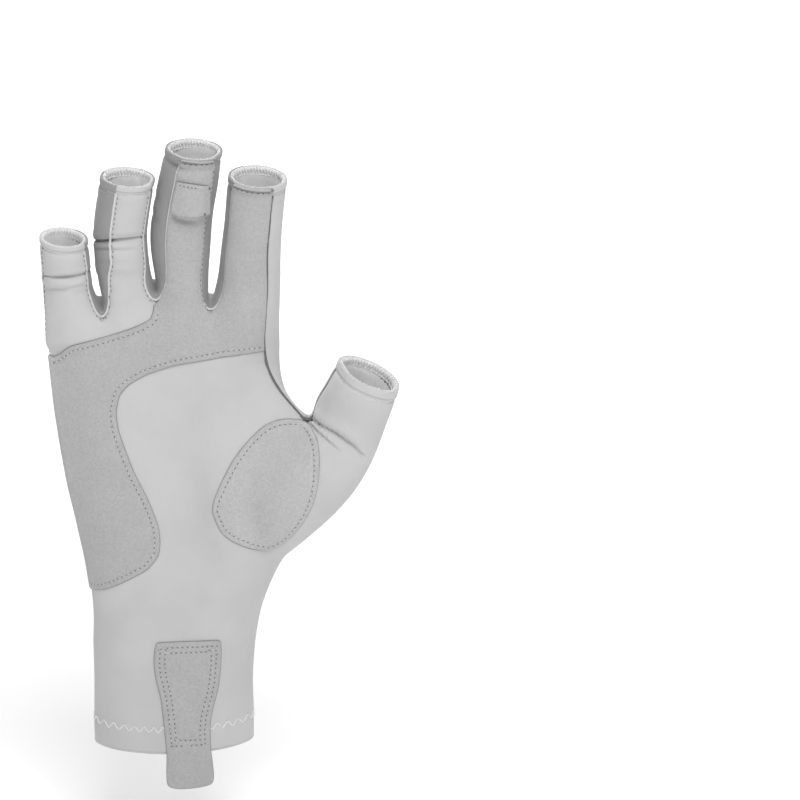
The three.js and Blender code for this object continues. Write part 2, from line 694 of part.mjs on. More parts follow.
// The part of a sheet that lies behind an outline seen from the palm.
function trimmed(solid, outline, tension) {
  const path = outline.map(([x, z]) => vector(x, z, 0));
  const curve = new THREE.CatmullRomCurve3(path, true, 'catmullrom', tension);
  const edge = curve.getPoints(outline.length * 2).slice(0, -1);
  const shape = new THREE.Shape(edge.map((point) => new THREE.Vector2(point.x, point.y)));
  const prism = new THREE.ExtrudeGeometry(shape, { depth: PRISM_DEPTH, bevelEnabled: false });
  prism.rotateX(Math.PI / 2);
  const welded = weld(prism);
  return fromManifold(toManifold(solid).intersect(toManifold(welded)));
}

// Shared points instead of separate triangles.
function weld(geometry) {
  const position = geometry.getAttribute('position');
  const ids = new Map();
  const points = [];
  const corners = [];
  for (let k = 0; k < position.count; k += 1) {
    const point = vector(position.getX(k), position.getY(k), position.getZ(k));
    const key = [point.x, point.y, point.z].map((value) => Math.round(value * 1e4)).join('_');
    if (!ids.has(key)) {
      ids.set(key, points.push(point) - 1);
    }
    corners.push(ids.get(key));
  }
  const triangles = [];
  for (let k = 0; k < corners.length; k += 3) {
    triangles.push([corners[k], corners[k + 1], corners[k + 2]]);
  }
  return { points, triangles };
}

function toMesh(name, solid, finish) {
  const geometry = new THREE.BufferGeometry();
  const positions = solid.points.flatMap((point) => [point.x, point.y, point.z]);
  geometry.setAttribute('position', new THREE.Float32BufferAttribute(positions, 3));
  geometry.setIndex(solid.triangles.flat());
  geometry.computeVertexNormals();
  const mesh = new THREE.Mesh(geometry, new THREE.MeshStandardMaterial(finish));
  mesh.name = name;
  return mesh;
}

const coarse = coarseSurface();
fitThroughPoints(coarse, FIT_ROUNDS);
const surface = subdivide(coarse);
surface.points = limitPoints(surface, topology(surface));
const normals = pointNormals(surface);

const glove = new THREE.Group();
glove.name = 'sun_glove';

const panelNames = [...new Set(surface.quads.map((quad) => quad.panel))];
for (const name of panelNames) {
  const quads = surface.quads.filter((quad) => quad.panel === name);
  const hem = name.endsWith('_hem');
  const wall = hem ? HEM_WALL : KNIT_WALL;
  let finish = KNIT;
  if (hem) {
    finish = HEM_KNIT;
  } else if (name.startsWith('fourchette')) {
    finish = SIDE_KNIT;
  }
  const drawIn = name.startsWith('fourchette') ? FOURCHETTE_DRAW_IN : SEAM_GAP / 2;
  const solid = layer(surface, normals, quads, 0, -wall, drawIn);
  glove.add(toMesh(name, solid, finish));
}

// Suede over the palm and the fronts of the middle and index finger.
const patchZones = ['palm', 'little_side_front', 'middle_front', 'index_front'];
const patchQuads = surface.quads.filter((quad) => patchZones.includes(quad.zone)
  && quad.panel !== 'thumb_gusset' && quad.panel !== 'cuff_hem');
const patchLayer = layer(surface, normals, patchQuads, SUEDE_LIFT + SUEDE_WALL, SUEDE_LIFT,
  PALM_PATCH_DRAW_IN);
glove.add(toMesh('palm_patch', trimmed(patchLayer, PALM_PATCH_EDGE, EDGE_TENSION.palm), SUEDE));

// Suede oval on the ball of the thumb.
const ballQuads = surface.quads.filter((quad) => ['palm', 'thumb_front'].includes(quad.zone)
  && quad.panel === 'main_panel');
const ballLayer = layer(surface, normals, ballQuads, SUEDE_LIFT + SUEDE_WALL, SUEDE_LIFT,
  BALL_PATCH_DRAW_IN);
glove.add(toMesh('thumb_ball_patch', trimmed(ballLayer, THUMB_PATCH_EDGE, EDGE_TENSION.ball), SUEDE));

// Pull band over the middle finger, sewn along its upper edge and standing off along the lower.
const loopRow = FINGERS[2].rings[3];
const loopHeight = (extra) => (point) => {
  const crest = (loopRow.left + loopRow.right) / 2 + LOOP.crestShift;
  const share = (point.x - crest) / (LOOP.span * (loopRow.right - loopRow.left) / 2);
  const drop = Math.min(1, Math.max(0, (LOOP.seamZ - point.z) / LOOP.drop));
  return LOOP.lift + extra + LOOP.arch * drop * Math.max(0, 1 - share ** 4);
};
const loopQuads = surface.quads.filter((quad) => quad.zone === 'middle_front');
const loopLayer = layer(surface, normals, loopQuads, loopHeight(SUEDE_WALL), loopHeight(0), LOOP.drawIn);
glove.add(toMesh('finger_loop', trimmed(loopLayer, FINGER_LOOP_EDGE, EDGE_TENSION.loop), SUEDE));

// Pull tab, sewn on the wrist and hanging below the hem.
const wristQuads = surface.quads.filter((quad) => quad.zone === 'palm');
const wristAt = palmSurfaceAt(surface, wristQuads);
const tabFront = (x, z) => {
  const below = Math.max(0, TAB_LEAVES_Z - z);
  return wristAt(x, z + below) - TAB_LIFT - SUEDE_WALL - below * TAB_LEAN;
};
const tabSheet = gridSheet(TAB_GRID, tabFront, SUEDE_WALL);
glove.add(toMesh('pull_tab', trimmed(tabSheet, PULL_TAB_EDGE, EDGE_TENSION.tab), SUEDE));

export default glove;
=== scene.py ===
"""A sun glove for the right hand, open at the fingertips, as an add-on that also runs as a script.

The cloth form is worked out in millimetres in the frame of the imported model: the origin is the
middle of the wrist opening, +Z runs towards the fingers, -Y is the palm side, +X the thumb side.
"""
import math
from collections import namedtuple
from functools import lru_cache

import bmesh
import bpy
import numpy as np
from bpy.props import FloatProperty, FloatVectorProperty, PointerProperty
from bpy.types import Operator, Panel, PropertyGroup
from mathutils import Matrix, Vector, noise
from mathutils.bvhtree import BVHTree
from mathutils.kdtree import KDTree


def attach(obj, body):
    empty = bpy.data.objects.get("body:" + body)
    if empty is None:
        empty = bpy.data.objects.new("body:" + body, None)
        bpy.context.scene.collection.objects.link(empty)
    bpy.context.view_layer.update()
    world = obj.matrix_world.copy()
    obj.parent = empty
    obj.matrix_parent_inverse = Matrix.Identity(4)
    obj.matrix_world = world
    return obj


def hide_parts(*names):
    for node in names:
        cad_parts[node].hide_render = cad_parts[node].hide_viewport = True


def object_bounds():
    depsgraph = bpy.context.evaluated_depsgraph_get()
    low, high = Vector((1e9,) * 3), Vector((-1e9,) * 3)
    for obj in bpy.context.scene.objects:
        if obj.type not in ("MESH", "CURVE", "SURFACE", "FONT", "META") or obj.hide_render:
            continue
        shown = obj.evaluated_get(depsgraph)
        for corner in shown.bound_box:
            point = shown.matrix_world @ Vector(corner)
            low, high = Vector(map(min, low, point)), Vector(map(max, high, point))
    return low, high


bl_info = {
    "name": "Sun Glove",
    "version": (1, 0, 0),
    "blender": (4, 5, 0),
    "location": "3D View > Sidebar > Sun Glove",
    "description": "Builds a fingertip-free sun glove with its seams, suede and stitching",
    "category": "Add Mesh",
}

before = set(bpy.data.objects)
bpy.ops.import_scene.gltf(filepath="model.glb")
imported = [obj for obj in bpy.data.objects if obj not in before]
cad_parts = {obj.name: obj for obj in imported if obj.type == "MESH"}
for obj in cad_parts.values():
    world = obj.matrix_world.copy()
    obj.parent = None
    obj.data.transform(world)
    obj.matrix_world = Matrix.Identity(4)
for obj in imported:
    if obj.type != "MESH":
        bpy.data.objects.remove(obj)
CAD_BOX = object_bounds()

MM = 0.001
UP = Vector((0, 0, 1))
PALMWARD = Vector((0, -1, 0))


def table(row, *lines):
    """Lines of plain values as rows with named columns."""
    return tuple(row(*line) for line in lines)


def mesh_of(bm, name):
    """A mesh made from a bmesh, which is used up."""
    mesh = bpy.data.meshes.new(name)
    bm.to_mesh(mesh)
    bm.free()
    return mesh


def bmesh_from(mesh):
    """A bmesh made from a mesh, which is used up."""
    bm = bmesh.new()
    bm.from_mesh(mesh)
    bpy.data.meshes.remove(mesh)
    return bm


def add_object(name, data):
    """A new object in the scene."""
    made = bpy.data.objects.new(name, data)
    bpy.context.scene.collection.objects.link(made)
    return made


def evaluated(holder):
    """The final mesh of an object, which is used up."""
    depsgraph = bpy.context.evaluated_depsgraph_get()
    mesh = bpy.data.meshes.new_from_object(holder.evaluated_get(depsgraph))
    bpy.data.objects.remove(holder)
    return mesh


def distance_tree(points):
    """A search tree for the distance to the nearest of some points."""
    tree = KDTree(len(points))
    for k, point in enumerate(points):
        tree.insert(point, k)
    tree.balance()
    return tree


def mean(points):
    """The middle of some points."""
    return sum(points, Vector()) / len(points)


def places_of(verts):
    """Copies of the places of vertices."""
    return [vert.co.copy() for vert in verts]


def ring_edges(bm, ring):
    """The edges round a closed ring of vertices, made where they are missing."""
    pairs = zip(ring, [*ring[1:], ring[0]])
    return [bm.edges.get(pair) or bm.edges.new(pair) for pair in pairs]


def grow_ring(bm, ring, places):
    """Extrudes a closed ring of edges to new places and returns the new ring."""
    made = bmesh.ops.extrude_edge_only(bm, edges=ring_edges(bm, ring))["geom"]
    fresh = {item for item in made if isinstance(item, bmesh.types.BMVert)}
    result = []
    for vert, place in zip(ring, places):
        grown = next(e.other_vert(vert) for e in vert.link_edges if e.other_vert(vert) in fresh)
        grown.co = place
        result.append(grown)
    return result


def new_ring(bm, places, filled=False):
    """A closed ring of edges through new places, filled with a face if so wished."""
    circle = bmesh.ops.create_circle(bm, cap_ends=filled, segments=len(places), radius=1.0)
    for vert, place in zip(circle["verts"], places):
        vert.co = place
    return circle["verts"]


# Names of the cloth pieces, of the strips on the thumb side of each finger, of the sides that the
# cloth covers and of the parts of the hand.
PANELS = (
    "main_panel", "cuff_hem", "thumb_gusset",
    "fourchette_ring_little", "fourchette_middle_ring", "fourchette_index_middle",
    "little_hem", "ring_hem", "middle_hem", "index_hem", "thumb_hem",
)
STRIPS = ("fourchette_ring_little", "fourchette_middle_ring", "fourchette_index_middle",
          "thumb_gusset")
ZONES = ("palm", "back", "seam_front", "seam_back", "front", "round", "side")
CLOSING_SEAM = {ZONES.index("seam_front"), ZONES.index("seam_back")}
PARTS = ("hand", "little", "ring", "middle", "index", "thumb")

# Share of the half width at which each of the nine palm columns stands, little finger first.
COLUMN_SHARE = (-0.93, -0.74, -0.5, -0.27, -0.04, 0.185, 0.405, 0.68, 0.91)
THUMB_SIDE = len(COLUMN_SHARE)
LITTLE_SIDE = 2 * len(COLUMN_SHARE) + 1
RING_SIZE = 2 * len(COLUMN_SHARE) + 2
SIDE_LINE_Y = -0.6
PAD_SHARE = 0.66
COLUMN_CLOTH = 9.0
FIT_ROUNDS = 8
FORM_LEVELS = 3

# Hand sections from the wrist to the finger roots: side edges, rise of the back, depth of the
# palm at its little-finger side, its hollow and its thumb side, squareness of the section, depth
# of the closing seam and share of the half width where the palm meets the gusset.
HandRow = namedtuple("HandRow", "z left right back ulnar middle radial power seam edge")
HAND_ROWS = table(
    HandRow,
    (0, -32.6, 32.6, 20.5, 20.0, 20.5, 20.0, 2.0, -0.6, 0.91),
    (11, -32.5, 32.5, 20.5, 20.0, 20.5, 20.0, 2.0, -0.6, 0.91),
    (32, -32.1, 32.9, 19.0, 19.4, 19.5, 19.8, 2.0, -0.8, 0.91),
    (54, -31.9, 36.1, 17.0, 18.9, 17.6, 21.4, 2.1, -1.4, 0.91),
    (74, -33.5, 44.1, 15.5, 18.5, 15.8, 23.4, 2.2, -2.4, 0.91),
    (93, -37.0, 46.1, 15.0, 17.6, 14.4, 24.0, 2.3, -3.2, 0.91),
    (113, -41.0, 47.0, 15.0, 16.2, 13.4, 22.0, 2.4, -3.8, 0.91),
    (133, -44.0, 47.0, 14.8, 15.0, 13.2, 18.0, 2.4, -4.2, 0.91),
    (150, -46.2, 45.6, 14.4, 14.4, 13.6, 15.6, 2.4, -4.4, 0.935),
    (164, -47.3, 44.8, 13.8, 14.2, 14.4, 14.8, 2.4, -4.4, 0.87),
)
CUFF_ROWS = 1
THUMB_ROW = 5

# The row at the finger roots: height, front and back of each palm column and its back's extra rise.
RootPoint = namedtuple("RootPoint", "x z front back rise")
ROOT_ROW = table(
    RootPoint,
    (-45.2, 169.5, -9.0, 8.0, 0),
    (-36.6, 172.0, -13.2, 11.4, 1.5),
    (-24.4, 178.0, -10.6, 9.6, 4),
    (-14.6, 178.0, -14.2, 12.6, 2.5),
    (-3.6, 184.4, -11.0, 10.4, 3.5),
    (6.9, 182.0, -14.8, 13.2, 2),
    (17.2, 180.2, -10.8, 10.2, 1.5),
    (30.6, 177.5, -14.4, 12.6, 0.5),
    (39.0, 174.0, -10.2, 8.6, 0),
)
ROOT_LITTLE_SIDE = Vector((-47.3, -4.2, 169.2))
ROOT_THUMB_SIDE = Vector((44.7, -0.6, 173.5))
FORKS = (
    Vector((-24.4, -0.8, 180.4)),
    Vector((-3.6, -0.6, 186.8)),
    Vector((17.2, -0.8, 181.0)),
)

# Finger sections from the fork to the tip: side edges seen from the palm, depth, middle, lean
# towards the palm, fold depth and turn.
FingerRow = namedtuple("FingerRow", "z left right depth y curl pinch twist")
FINGERS = (
    table(
        FingerRow,
        (186.8, -47.9, -27.4, 18.6, -2.8, 7, 0, 14),
        (191.0, -48.2, -28.4, 18.2, -3.9, 9, 0.5, 17),
        (194.0, -48.3, -28.6, 18.0, -4.8, 11, 0, 18),
        (196.8, -48.1, -28.9, 17.8, -5.7, 13, 1.5, 18),
        (200.0, -48.3, -29.0, 17.6, -6.6, 14, 0, 18),
        (207.0, -48.3, -29.6, 17.4, -8.8, 15.5, 0, 18),
        (209.6, -48.3, -29.8, 17.3, -9.6, 16, 0, 18),
    ),
    table(
        FingerRow,
        (192.6, -26.8, -5.0, 20.4, -2.7, 5, 0.5, 8),
        (198.6, -27.3, -5.9, 20.0, -3.9, 7, 0, 18),
        (203.8, -27.4, -6.4, 19.8, -5.2, 9, 0, 21),
        (207.8, -27.5, -6.6, 19.6, -6.2, 10, 0.8, 21),
        (211.6, -27.2, -6.6, 19.4, -7.4, 12, 1.7, 21),
        (215.2, -26.9, -6.1, 19.2, -8.4, 13, 0, 21),
        (222.4, -25.9, -5.0, 18.8, -10.6, 14, 0, 21),
        (231.0, -24.3, -3.5, 18.4, -13.2, 15.5, 0, 21),
        (233.9, -23.6, -2.9, 18.2, -14.1, 16, 0, 21),
    ),
    table(
        FingerRow,
        (193.6, -4.3, 17.2, 21.2, -2.3, 4, 0.6, 6),
        (202.4, -5.2, 17.8, 20.9, -3.7, 7, 0, 10),
        (213.0, -5.0, 18.6, 20.6, -6.0, 10, 0, 10),
        (224.0, -3.4, 20.2, 20.2, -9.0, 13, 0, 10),
        (234.6, -1.0, 21.8, 19.8, -12.1, 15, 0, 10),
        (241.8, 0.8, 22.8, 19.4, -14.1, 16, 0, 10),
        (244.8, 1.6, 23.2, 19.2, -14.9, 16.5, 0, 10),
    ),
    table(
        FingerRow,
        (188.4, 20.0, 45.0, 21.8, -2.1, 4, 0.3, -8),
        (196.8, 21.4, 45.2, 21.4, -3.5, 6, 0, -11),
        (205.6, 22.5, 45.6, 21.0, -5.5, 9, 0, -13),
        (214.4, 23.4, 46.2, 20.8, -8.0, 12, 0, -13),
        (222.8, 24.2, 47.0, 20.6, -10.4, 14.5, 0, -13),
        (230.2, 25.0, 47.8, 20.4, -12.8, 16, 0, -13),
        (233.5, 25.4, 48.0, 20.2, -13.8, 16.5, 0, -13),
    ),
)
SECTION_RISE = (1.2, -0.6)

# Half the angle that the palm side's strip covers of each finger, the turns of a finger's other
# lengthwise lines and those of all the thumb's.
FRONT_ANGLE = (45, 43, 40, 45)
BACK_TURNS = (-45, -90, -135, 180)
THUMB_TURNS = (168, 107, 46, 0, -45, -90, -135, -164)

# Edge of the thumb's opening in the hand, then the thumb's sections.
THUMB_ROOT = (
    Vector((53.4, -12.2, 137.3)),
    Vector((46.2, -24.6, 114.0)),
    Vector((44.8, -21.4, 90.6)),
    Vector((52.2, -7.4, 83.8)),
    Vector((45.8, 7.4, 90.6)),
    Vector((52.0, 10.4, 112.0)),
    Vector((48.0, 9.0, 131.0)),
    Vector((51.4, -2.6, 133.2)),
)
THUMB_TWIST = -12
ThumbRow = namedtuple("ThumbRow", "inner outer y depth curl pinch")
THUMB_ROWS = table(
    ThumbRow,
    ((58.3, 141.1), (71.2, 102.3), -8.6, 30.0, 8, 0.8),
    ((61.5, 148.0), (82.4, 122.4), -11.0, 26.6, 11, 1.6),
    ((64.2, 153.6), (87.2, 136.2), -12.8, 24.2, 13, 0),
    ((66.1, 157.2), (90.2, 144.9), -13.6, 23.0, 14, 0),
    ((67.7, 160.4), (91.4, 149.2), -14.2, 22.0, 15, 0),
)


def pad_depth(row, share):
    """Depth of the palm between its hollow and the pads at both sides."""
    pad = row.ulnar if share < 0 else row.radial
    weight = 0.5 - 0.5 * math.cos(math.pi * min(1, abs(share) / PAD_SHARE))
    return row.middle + (pad - row.middle) * weight


def hand_point(row, column):
    """A point of a hand section, columns counted from the little finger over the palm and back."""
    centre = (row.left + row.right) / 2
    half = (row.right - row.left) / 2
    if column == THUMB_SIDE:
        return Vector((row.right, SIDE_LINE_Y, row.z))
    if column == LITTLE_SIDE:
        reach = (1 - abs(row.seam / row.ulnar) ** row.power) ** (1 / row.power)
        return Vector((centre - half * reach, row.seam, row.z))
    on_palm = column < THUMB_SIDE
    share = COLUMN_SHARE[column if on_palm else RING_SIZE - 2 - column]
    if column == THUMB_SIDE - 1:
        share = row.edge
    profile = (1 - abs(share) ** row.power) ** (1 / row.power)
    y = -pad_depth(row, share) * profile if on_palm else row.back * profile
    return Vector((centre + half * share, y, row.z))


def root_point(column):
    """A point of the row at the finger roots."""
    if column == THUMB_SIDE:
        return ROOT_THUMB_SIDE.copy()
    if column == LITTLE_SIDE:
        return ROOT_LITTLE_SIDE.copy()
    on_palm = column < THUMB_SIDE
    point = ROOT_ROW[column if on_palm else RING_SIZE - 2 - column]
    if on_palm:
        return Vector((point.x, point.front, point.z))
    return Vector((point.x, point.back, point.z + point.rise))


def ring_points(inner, outer, row, twist, turns):
    """Eight points round a finger at the given turns, over the palm side and round the back."""
    centre = Vector(((inner[0] + outer[0]) / 2, row.y, (inner[1] + outer[1]) / 2))
    across = Vector(((outer[0] - inner[0]) / 2, 0, (outer[1] - inner[1]) / 2))
    lengthwise = Vector((-across.z, 0, across.x)).normalized()
    curl = math.radians(row.curl)
    forward = (PALMWARD * math.cos(curl) - lengthwise * math.sin(curl)) * (row.depth / 2)
    points = []
    for turn in turns:
        angle = math.radians(turn - twist)
        fold = 1 - 2 * row.pinch / row.depth * max(0, math.sin(angle))
        points.append(centre + across * math.cos(angle) + forward * (math.sin(angle) * fold))
    return points


def finger_ends(row):
    """Left and right end of a finger section as x and z."""
    return (row.left, row.z + SECTION_RISE[0]), (row.right, row.z + SECTION_RISE[1])


class Cage:
    """The coarse quads of the whole glove, grown ring by ring."""

    def __init__(self):
        self.bm = bmesh.new()
        faces = self.bm.faces.layers.int
        self.panel = faces.new("panel")
        self.zone = faces.new("zone")
        self.part = faces.new("part")
        self.cloth = self.bm.loops.layers.uv.new("cloth")

    def grow(self, lower, points, label, column, low, high):
        """A band of faces from a closed ring up to new points, which it returns as a ring.

        For each face, label gives its names and column where it starts across the cloth; low and
        high are the lengths along the cloth at both rings."""
        upper = grow_ring(self.bm, lower, points)
        for j in range(len(lower)):
            k = (j + 1) % len(lower)
            corners = (lower[j], lower[k], upper[k], upper[j])
            face = self.bm.faces.get(corners)
            panel, zone, part = label(j)
            face[self.panel] = PANELS.index(panel)
            face[self.zone] = ZONES.index(zone)
            face[self.part] = PARTS.index(part)
            start, end = column(j), column(j) + 1
            cloth = dict(zip(corners, ((start, low), (end, low), (end, high), (start, high))))
            for loop in face.loops:
                across, along = cloth[loop.vert]
                loop[self.cloth].uv = (across * COLUMN_CLOTH * MM, along * MM)
        return upper


def hand_label(row, column):
    """Panel, zone and part of a face of the hand."""
    beside_thumb = column in (THUMB_SIDE - 1, THUMB_SIDE)
    panel = "main_panel"
    if row < CUFF_ROWS:
        panel = "cuff_hem"
    elif row > THUMB_ROW + 1 and beside_thumb:
        panel = "thumb_gusset"
    zone = "palm" if column < THUMB_SIDE else "back"
    if column == LITTLE_SIDE:
        zone = "seam_front"
    elif column == LITTLE_SIDE - 1:
        zone = "seam_back"
    return panel, zone, "hand"


def finger_label(finger, is_hem, column):
    """Panel, zone and part of a face of a finger."""
    part = PARTS[finger + 1]
    on_thumb_side, on_little_side = column in (2, 3), column in (6, 7)
    panel = "main_panel"
    if is_hem:
        panel = f"{part}_hem"
    elif on_thumb_side:
        panel = STRIPS[finger]
    elif on_little_side and finger > 0:
        panel = STRIPS[finger - 1]
    zone = "front" if column < 2 else "round"
    if is_hem and (on_thumb_side and finger < 3 or on_little_side and finger > 0):
        zone = "side"
    elif finger == 0 and not is_hem and on_little_side:
        zone = "seam_front" if column == 7 else "seam_back"
    return panel, zone, part


def thumb_label(is_hem, column):
    """Panel, zone and part of a face of the thumb."""
    panel = "thumb_gusset" if column >= 5 else "main_panel"
    return "thumb_hem" if is_hem else panel, "front" if column < 3 else "round", "thumb"


def build_cage():
    """The whole coarse surface: hand, four fingers and thumb."""
    cage = Cage()
    rings = [[hand_point(row, column) for column in range(RING_SIZE)] for row in HAND_ROWS]
    block = (
        (THUMB_ROW + 2, 0, 6, 7),
        (THUMB_ROW + 1, 1, 5, 7),
        (THUMB_ROW, 2, 4, 3),
    )
    for row, palm, back, side in block:
        rings[row][THUMB_SIDE - 1] = THUMB_ROOT[palm]
        rings[row][THUMB_SIDE + 1] = THUMB_ROOT[back]
        rings[row][THUMB_SIDE] = THUMB_ROOT[side]
    rings.append([root_point(column) for column in range(RING_SIZE)])
    heights = [row.z for row in HAND_ROWS] + [ROOT_ROW[0].z]
    rows = [new_ring(cage.bm, rings[0])]
    for k in range(1, len(rings)):
        label = lambda j, k=k: hand_label(k - 1, j)
        grown = cage.grow(rows[-1], rings[k], label, lambda j: j, heights[k - 1], heights[k])
        rows.append(grown)
    top, centre, bottom = rows[THUMB_ROW + 2], rows[THUMB_ROW + 1], rows[THUMB_ROW]
    bmesh.ops.delete(cage.bm, geom=[centre[THUMB_SIDE]], context="VERTS")
    root = rows[-1]
    forks = []
    for f, place in enumerate(FORKS):
        fork = bmesh.ops.create_vert(cage.bm, co=place)["vert"][0]
        cage.bm.edges.new((root[2 * f + 2], fork))
        cage.bm.edges.new((fork, root[RING_SIZE - 4 - 2 * f]))
        forks.append(fork)
    for f, finger in enumerate(FINGERS):
        back = RING_SIZE - 2 - 2 * f
        right = root[THUMB_SIDE] if f == 3 else forks[f]
        left = root[LITTLE_SIDE] if f == 0 else forks[f - 1]
        ring = [*root[2 * f:2 * f + 3], right, *root[back - 2:back + 1], left]
        first = (2 * f, 2 * f + 1, 2 * f + 2, back - 3, back - 2, back - 1, back, 2 * f - 1)
        length = heights[-1]
        for level, row in enumerate(finger):
            is_hem = level == len(finger) - 1
            label = lambda j, f=f, is_hem=is_hem: finger_label(f, is_hem, j)
            front = FRONT_ANGLE[f]
            turns = (90 + front, 90, 90 - front, 0, *BACK_TURNS)
            points = ring_points(*finger_ends(row), row, row.twist, turns)
            ring = cage.grow(ring, points, label, lambda j, first=first: first[j], length, row.z)
            length = row.z
    ring = [top[THUMB_SIDE - 1], centre[THUMB_SIDE - 1], bottom[THUMB_SIDE - 1], bottom[THUMB_SIDE],
            bottom[THUMB_SIDE + 1], centre[THUMB_SIDE + 1], top[THUMB_SIDE + 1], top[THUMB_SIDE]]
    length = 0
    middle_before = mean(THUMB_ROOT)
    for level, row in enumerate(THUMB_ROWS):
        is_hem = level == len(THUMB_ROWS) - 1
        points = ring_points(row.inner, row.outer, row, THUMB_TWIST, THUMB_TURNS)
        middle = mean(points)
        step = (middle - middle_before).length
        label = lambda j, is_hem=is_hem: thumb_label(is_hem, j)
        ring = cage.grow(ring, points, label, lambda j: j, length, length + step)
        length += step
        middle_before = middle
    return cage.bm


def limit_point(vert):
    """Where a cage point comes to lie on the smooth surface of endless subdivision."""
    rim = [edge for edge in vert.link_edges if edge.is_boundary]
    if rim:
        total = vert.co * 4
        for edge in rim:
            total += edge.other_vert(vert).co
        return total / (4 + len(rim))
    count = len(vert.link_edges)
    total = vert.co * count * count
    for edge in vert.link_edges:
        total += edge.other_vert(vert).co * 4
    for loop in vert.link_loops:
        total += loop.link_loop_next.link_loop_next.vert.co
    return total / (count * (count + 5))


def fit_through_points(bm):
    """Moves the cage until its smooth surface passes through the places in the tables."""
    targets = [vert.co.copy() for vert in bm.verts]
    for _ in range(FIT_ROUNDS):
        limits = [limit_point(vert) for vert in bm.verts]
        for vert, target, limit in zip(bm.verts, targets, limits):
            vert.co += target - limit


def evaluated_mesh(bm, name, *modifiers):
    """A mesh made from a bmesh by modifiers, each given as its kind and settings."""
    mesh = mesh_of(bm, name)
    holder = add_object(name, mesh)
    for kind, settings in modifiers:
        modifier = holder.modifiers.new(kind.lower(), kind)
        for key, value in settings.items():
            setattr(modifier, key, value)
    result = evaluated(holder)
    bpy.data.meshes.remove(mesh)
    return result


# Flexing folds that run round a finger: height, rise to the right, lean with the section, depth,
# half width, direction of the middle as an angle from the thumb side over the palm, reach.
Fold = namedtuple("Fold", "part z rise lean depth width angle spread")
FOLDS = table(
    Fold,
    ("little", 197.2, 0.063, 0.056, -0.35, 1.1, 88, 108),
    ("little", 190.3, 0.1, 0.0, 0.6, 0.9, 100, 72),
    ("little", 186.4, 0.2, 0.0, 0.55, 0.9, 100, 62),
    ("little", 181.6, 0.17, 0.0, 0.6, 1.1, 104, 66),
    ("little", 176.6, 0.05, 0.1, 0.6, 1.4, 100, 60),
    ("ring", 210.4, 0.08, -0.125, 0.4, 1.5, 150, 70),
    ("ring", 213.0, 0.08, -0.1, -0.4, 1.3, 112, 100),
    ("ring", 208.0, 0.04, -0.1, -0.4, 1.2, 110, 90),
    ("ring", 206.2, -0.03, -0.1, 0.5, 0.8, 112, 78),
    ("ring", 200.4, 0.02, 0.0, 0.45, 1.3, 112, 60),
    ("ring", 189.8, 0.12, 0.0, 0.7, 0.9, 104, 56),
    ("ring", 187.6, 0.15, 0.0, -0.35, 0.9, 104, 50),
    ("ring", 185.4, 0.17, 0.0, 0.8, 0.9, 102, 58),
    ("ring", 181.8, 0.18, 0.0, 0.7, 0.9, 102, 54),
    ("middle", 200.6, 0.0, 0.0, 0.3, 1.4, 95, 45),
    ("middle", 191.6, 0.03, 0.12, 0.6, 1.3, 92, 60),
    ("middle", 188.0, 0.03, 0.12, 0.25, 1.3, 92, 50),
    ("middle", 212.6, -0.4, 0.1, 0.5, 1.1, 168, 34),
    ("middle", 218.4, -0.55, 0.1, 0.5, 1.2, 166, 34),
    ("ring", 222.8, -0.3, 0.1, 0.4, 1.1, 165, 30),
    ("ring", 196.4, 0.4, 0.1, 0.4, 1.2, 165, 30),
    ("index", 205.0, 0.02, 0.14, 0.2, 2.4, 95, 62),
    ("index", 186.5, 0.04, 0.1, 0.25, 1.8, 105, 60),
)

# Creases drawn on the palm side along [x, z] points: depth, half width, fading towards the end.
Crease = namedtuple("Crease", "points depth width fade")
CREASES = table(
    Crease,
    (((54.6, 136.9), (58.6, 136.1), (63.7, 134.1), (68.4, 131.1), (73.4, 127.0), (78.6, 120.9)),
     0.9, 1.4, 0.4),
    (((57.0, 138.6), (64.6, 136.2), (71.0, 131.8), (76.0, 127.0)), -0.45, 1.5, 0.6),
    (((53.8, 135.9), (57.1, 134.0), (60.1, 131.3), (62.8, 129.0), (68.3, 124.0)), 0.6, 1.1, 0.9),
    (((59.0, 134.4), (63.2, 131.2), (68.4, 127.2)), -0.55, 1.2, 0.8),
    (((58.6, 130.6), (62.8, 125.4), (67.5, 120.4)), 0.4, 1.6, 0.8),
    (((38.4, 158.0), (30.6, 158.6), (20.4, 158.8)), 0.6, 2.0, 0.8),
    (((37.5, 133.3), (34.6, 130.4), (31.5, 127.2)), 0.6, 1.1, 0.6),
    (((35.6, 134.6), (32.6, 131.4), (29.6, 128.2)), -0.35, 1.4, 0.6),
    (((3.0, 240.4), (6.0, 239.6), (9.8, 238.4), (14.4, 236.6)), 1.5, 0.9, 0.9),
    (((5.0, 237.4), (9.0, 236.4), (13.0, 235.0)), -0.35, 1.0, 0.8),
    (((4.2, 219.6), (7.4, 218.0), (11.0, 217.3), (15.8, 218.2)), 1.7, 1.0, 0.5),
)

# Sharp folds, along which the cloth is made finer before they are pressed in.
SHARP_FOLDS = table(
    Fold,
    ("little", 195.25, 0.063, 0.056, 1.1, 0.4, 88, 112),
    ("ring", 210.4, 0.08, -0.125, 1.35, 0.44, 104, 116),
    ("ring", 210.2, 0.08, -0.125, 0.35, 0.7, 140, 44),
    ("ring", 206.2, -0.03, -0.1, 0.35, 0.35, 104, 60),
)
SHARP_CREASES = table(
    Crease,
    (((55.4, 136.6), (58.6, 135.9), (63.7, 133.8), (68.4, 130.8), (73.4, 126.7), (78.8, 120.4)),
     1.5, 0.62, 0.16),
    (((54.4, 135.6), (57.1, 133.9), (60.1, 131.6), (63.2, 129.0), (66.4, 126.2), (70.0, 122.4)),
     1.1, 0.58, 0.5),
)
SHARP_CUTS = 3
SHARP_REACH = 4.0
SHARP_NEAR = 0.1

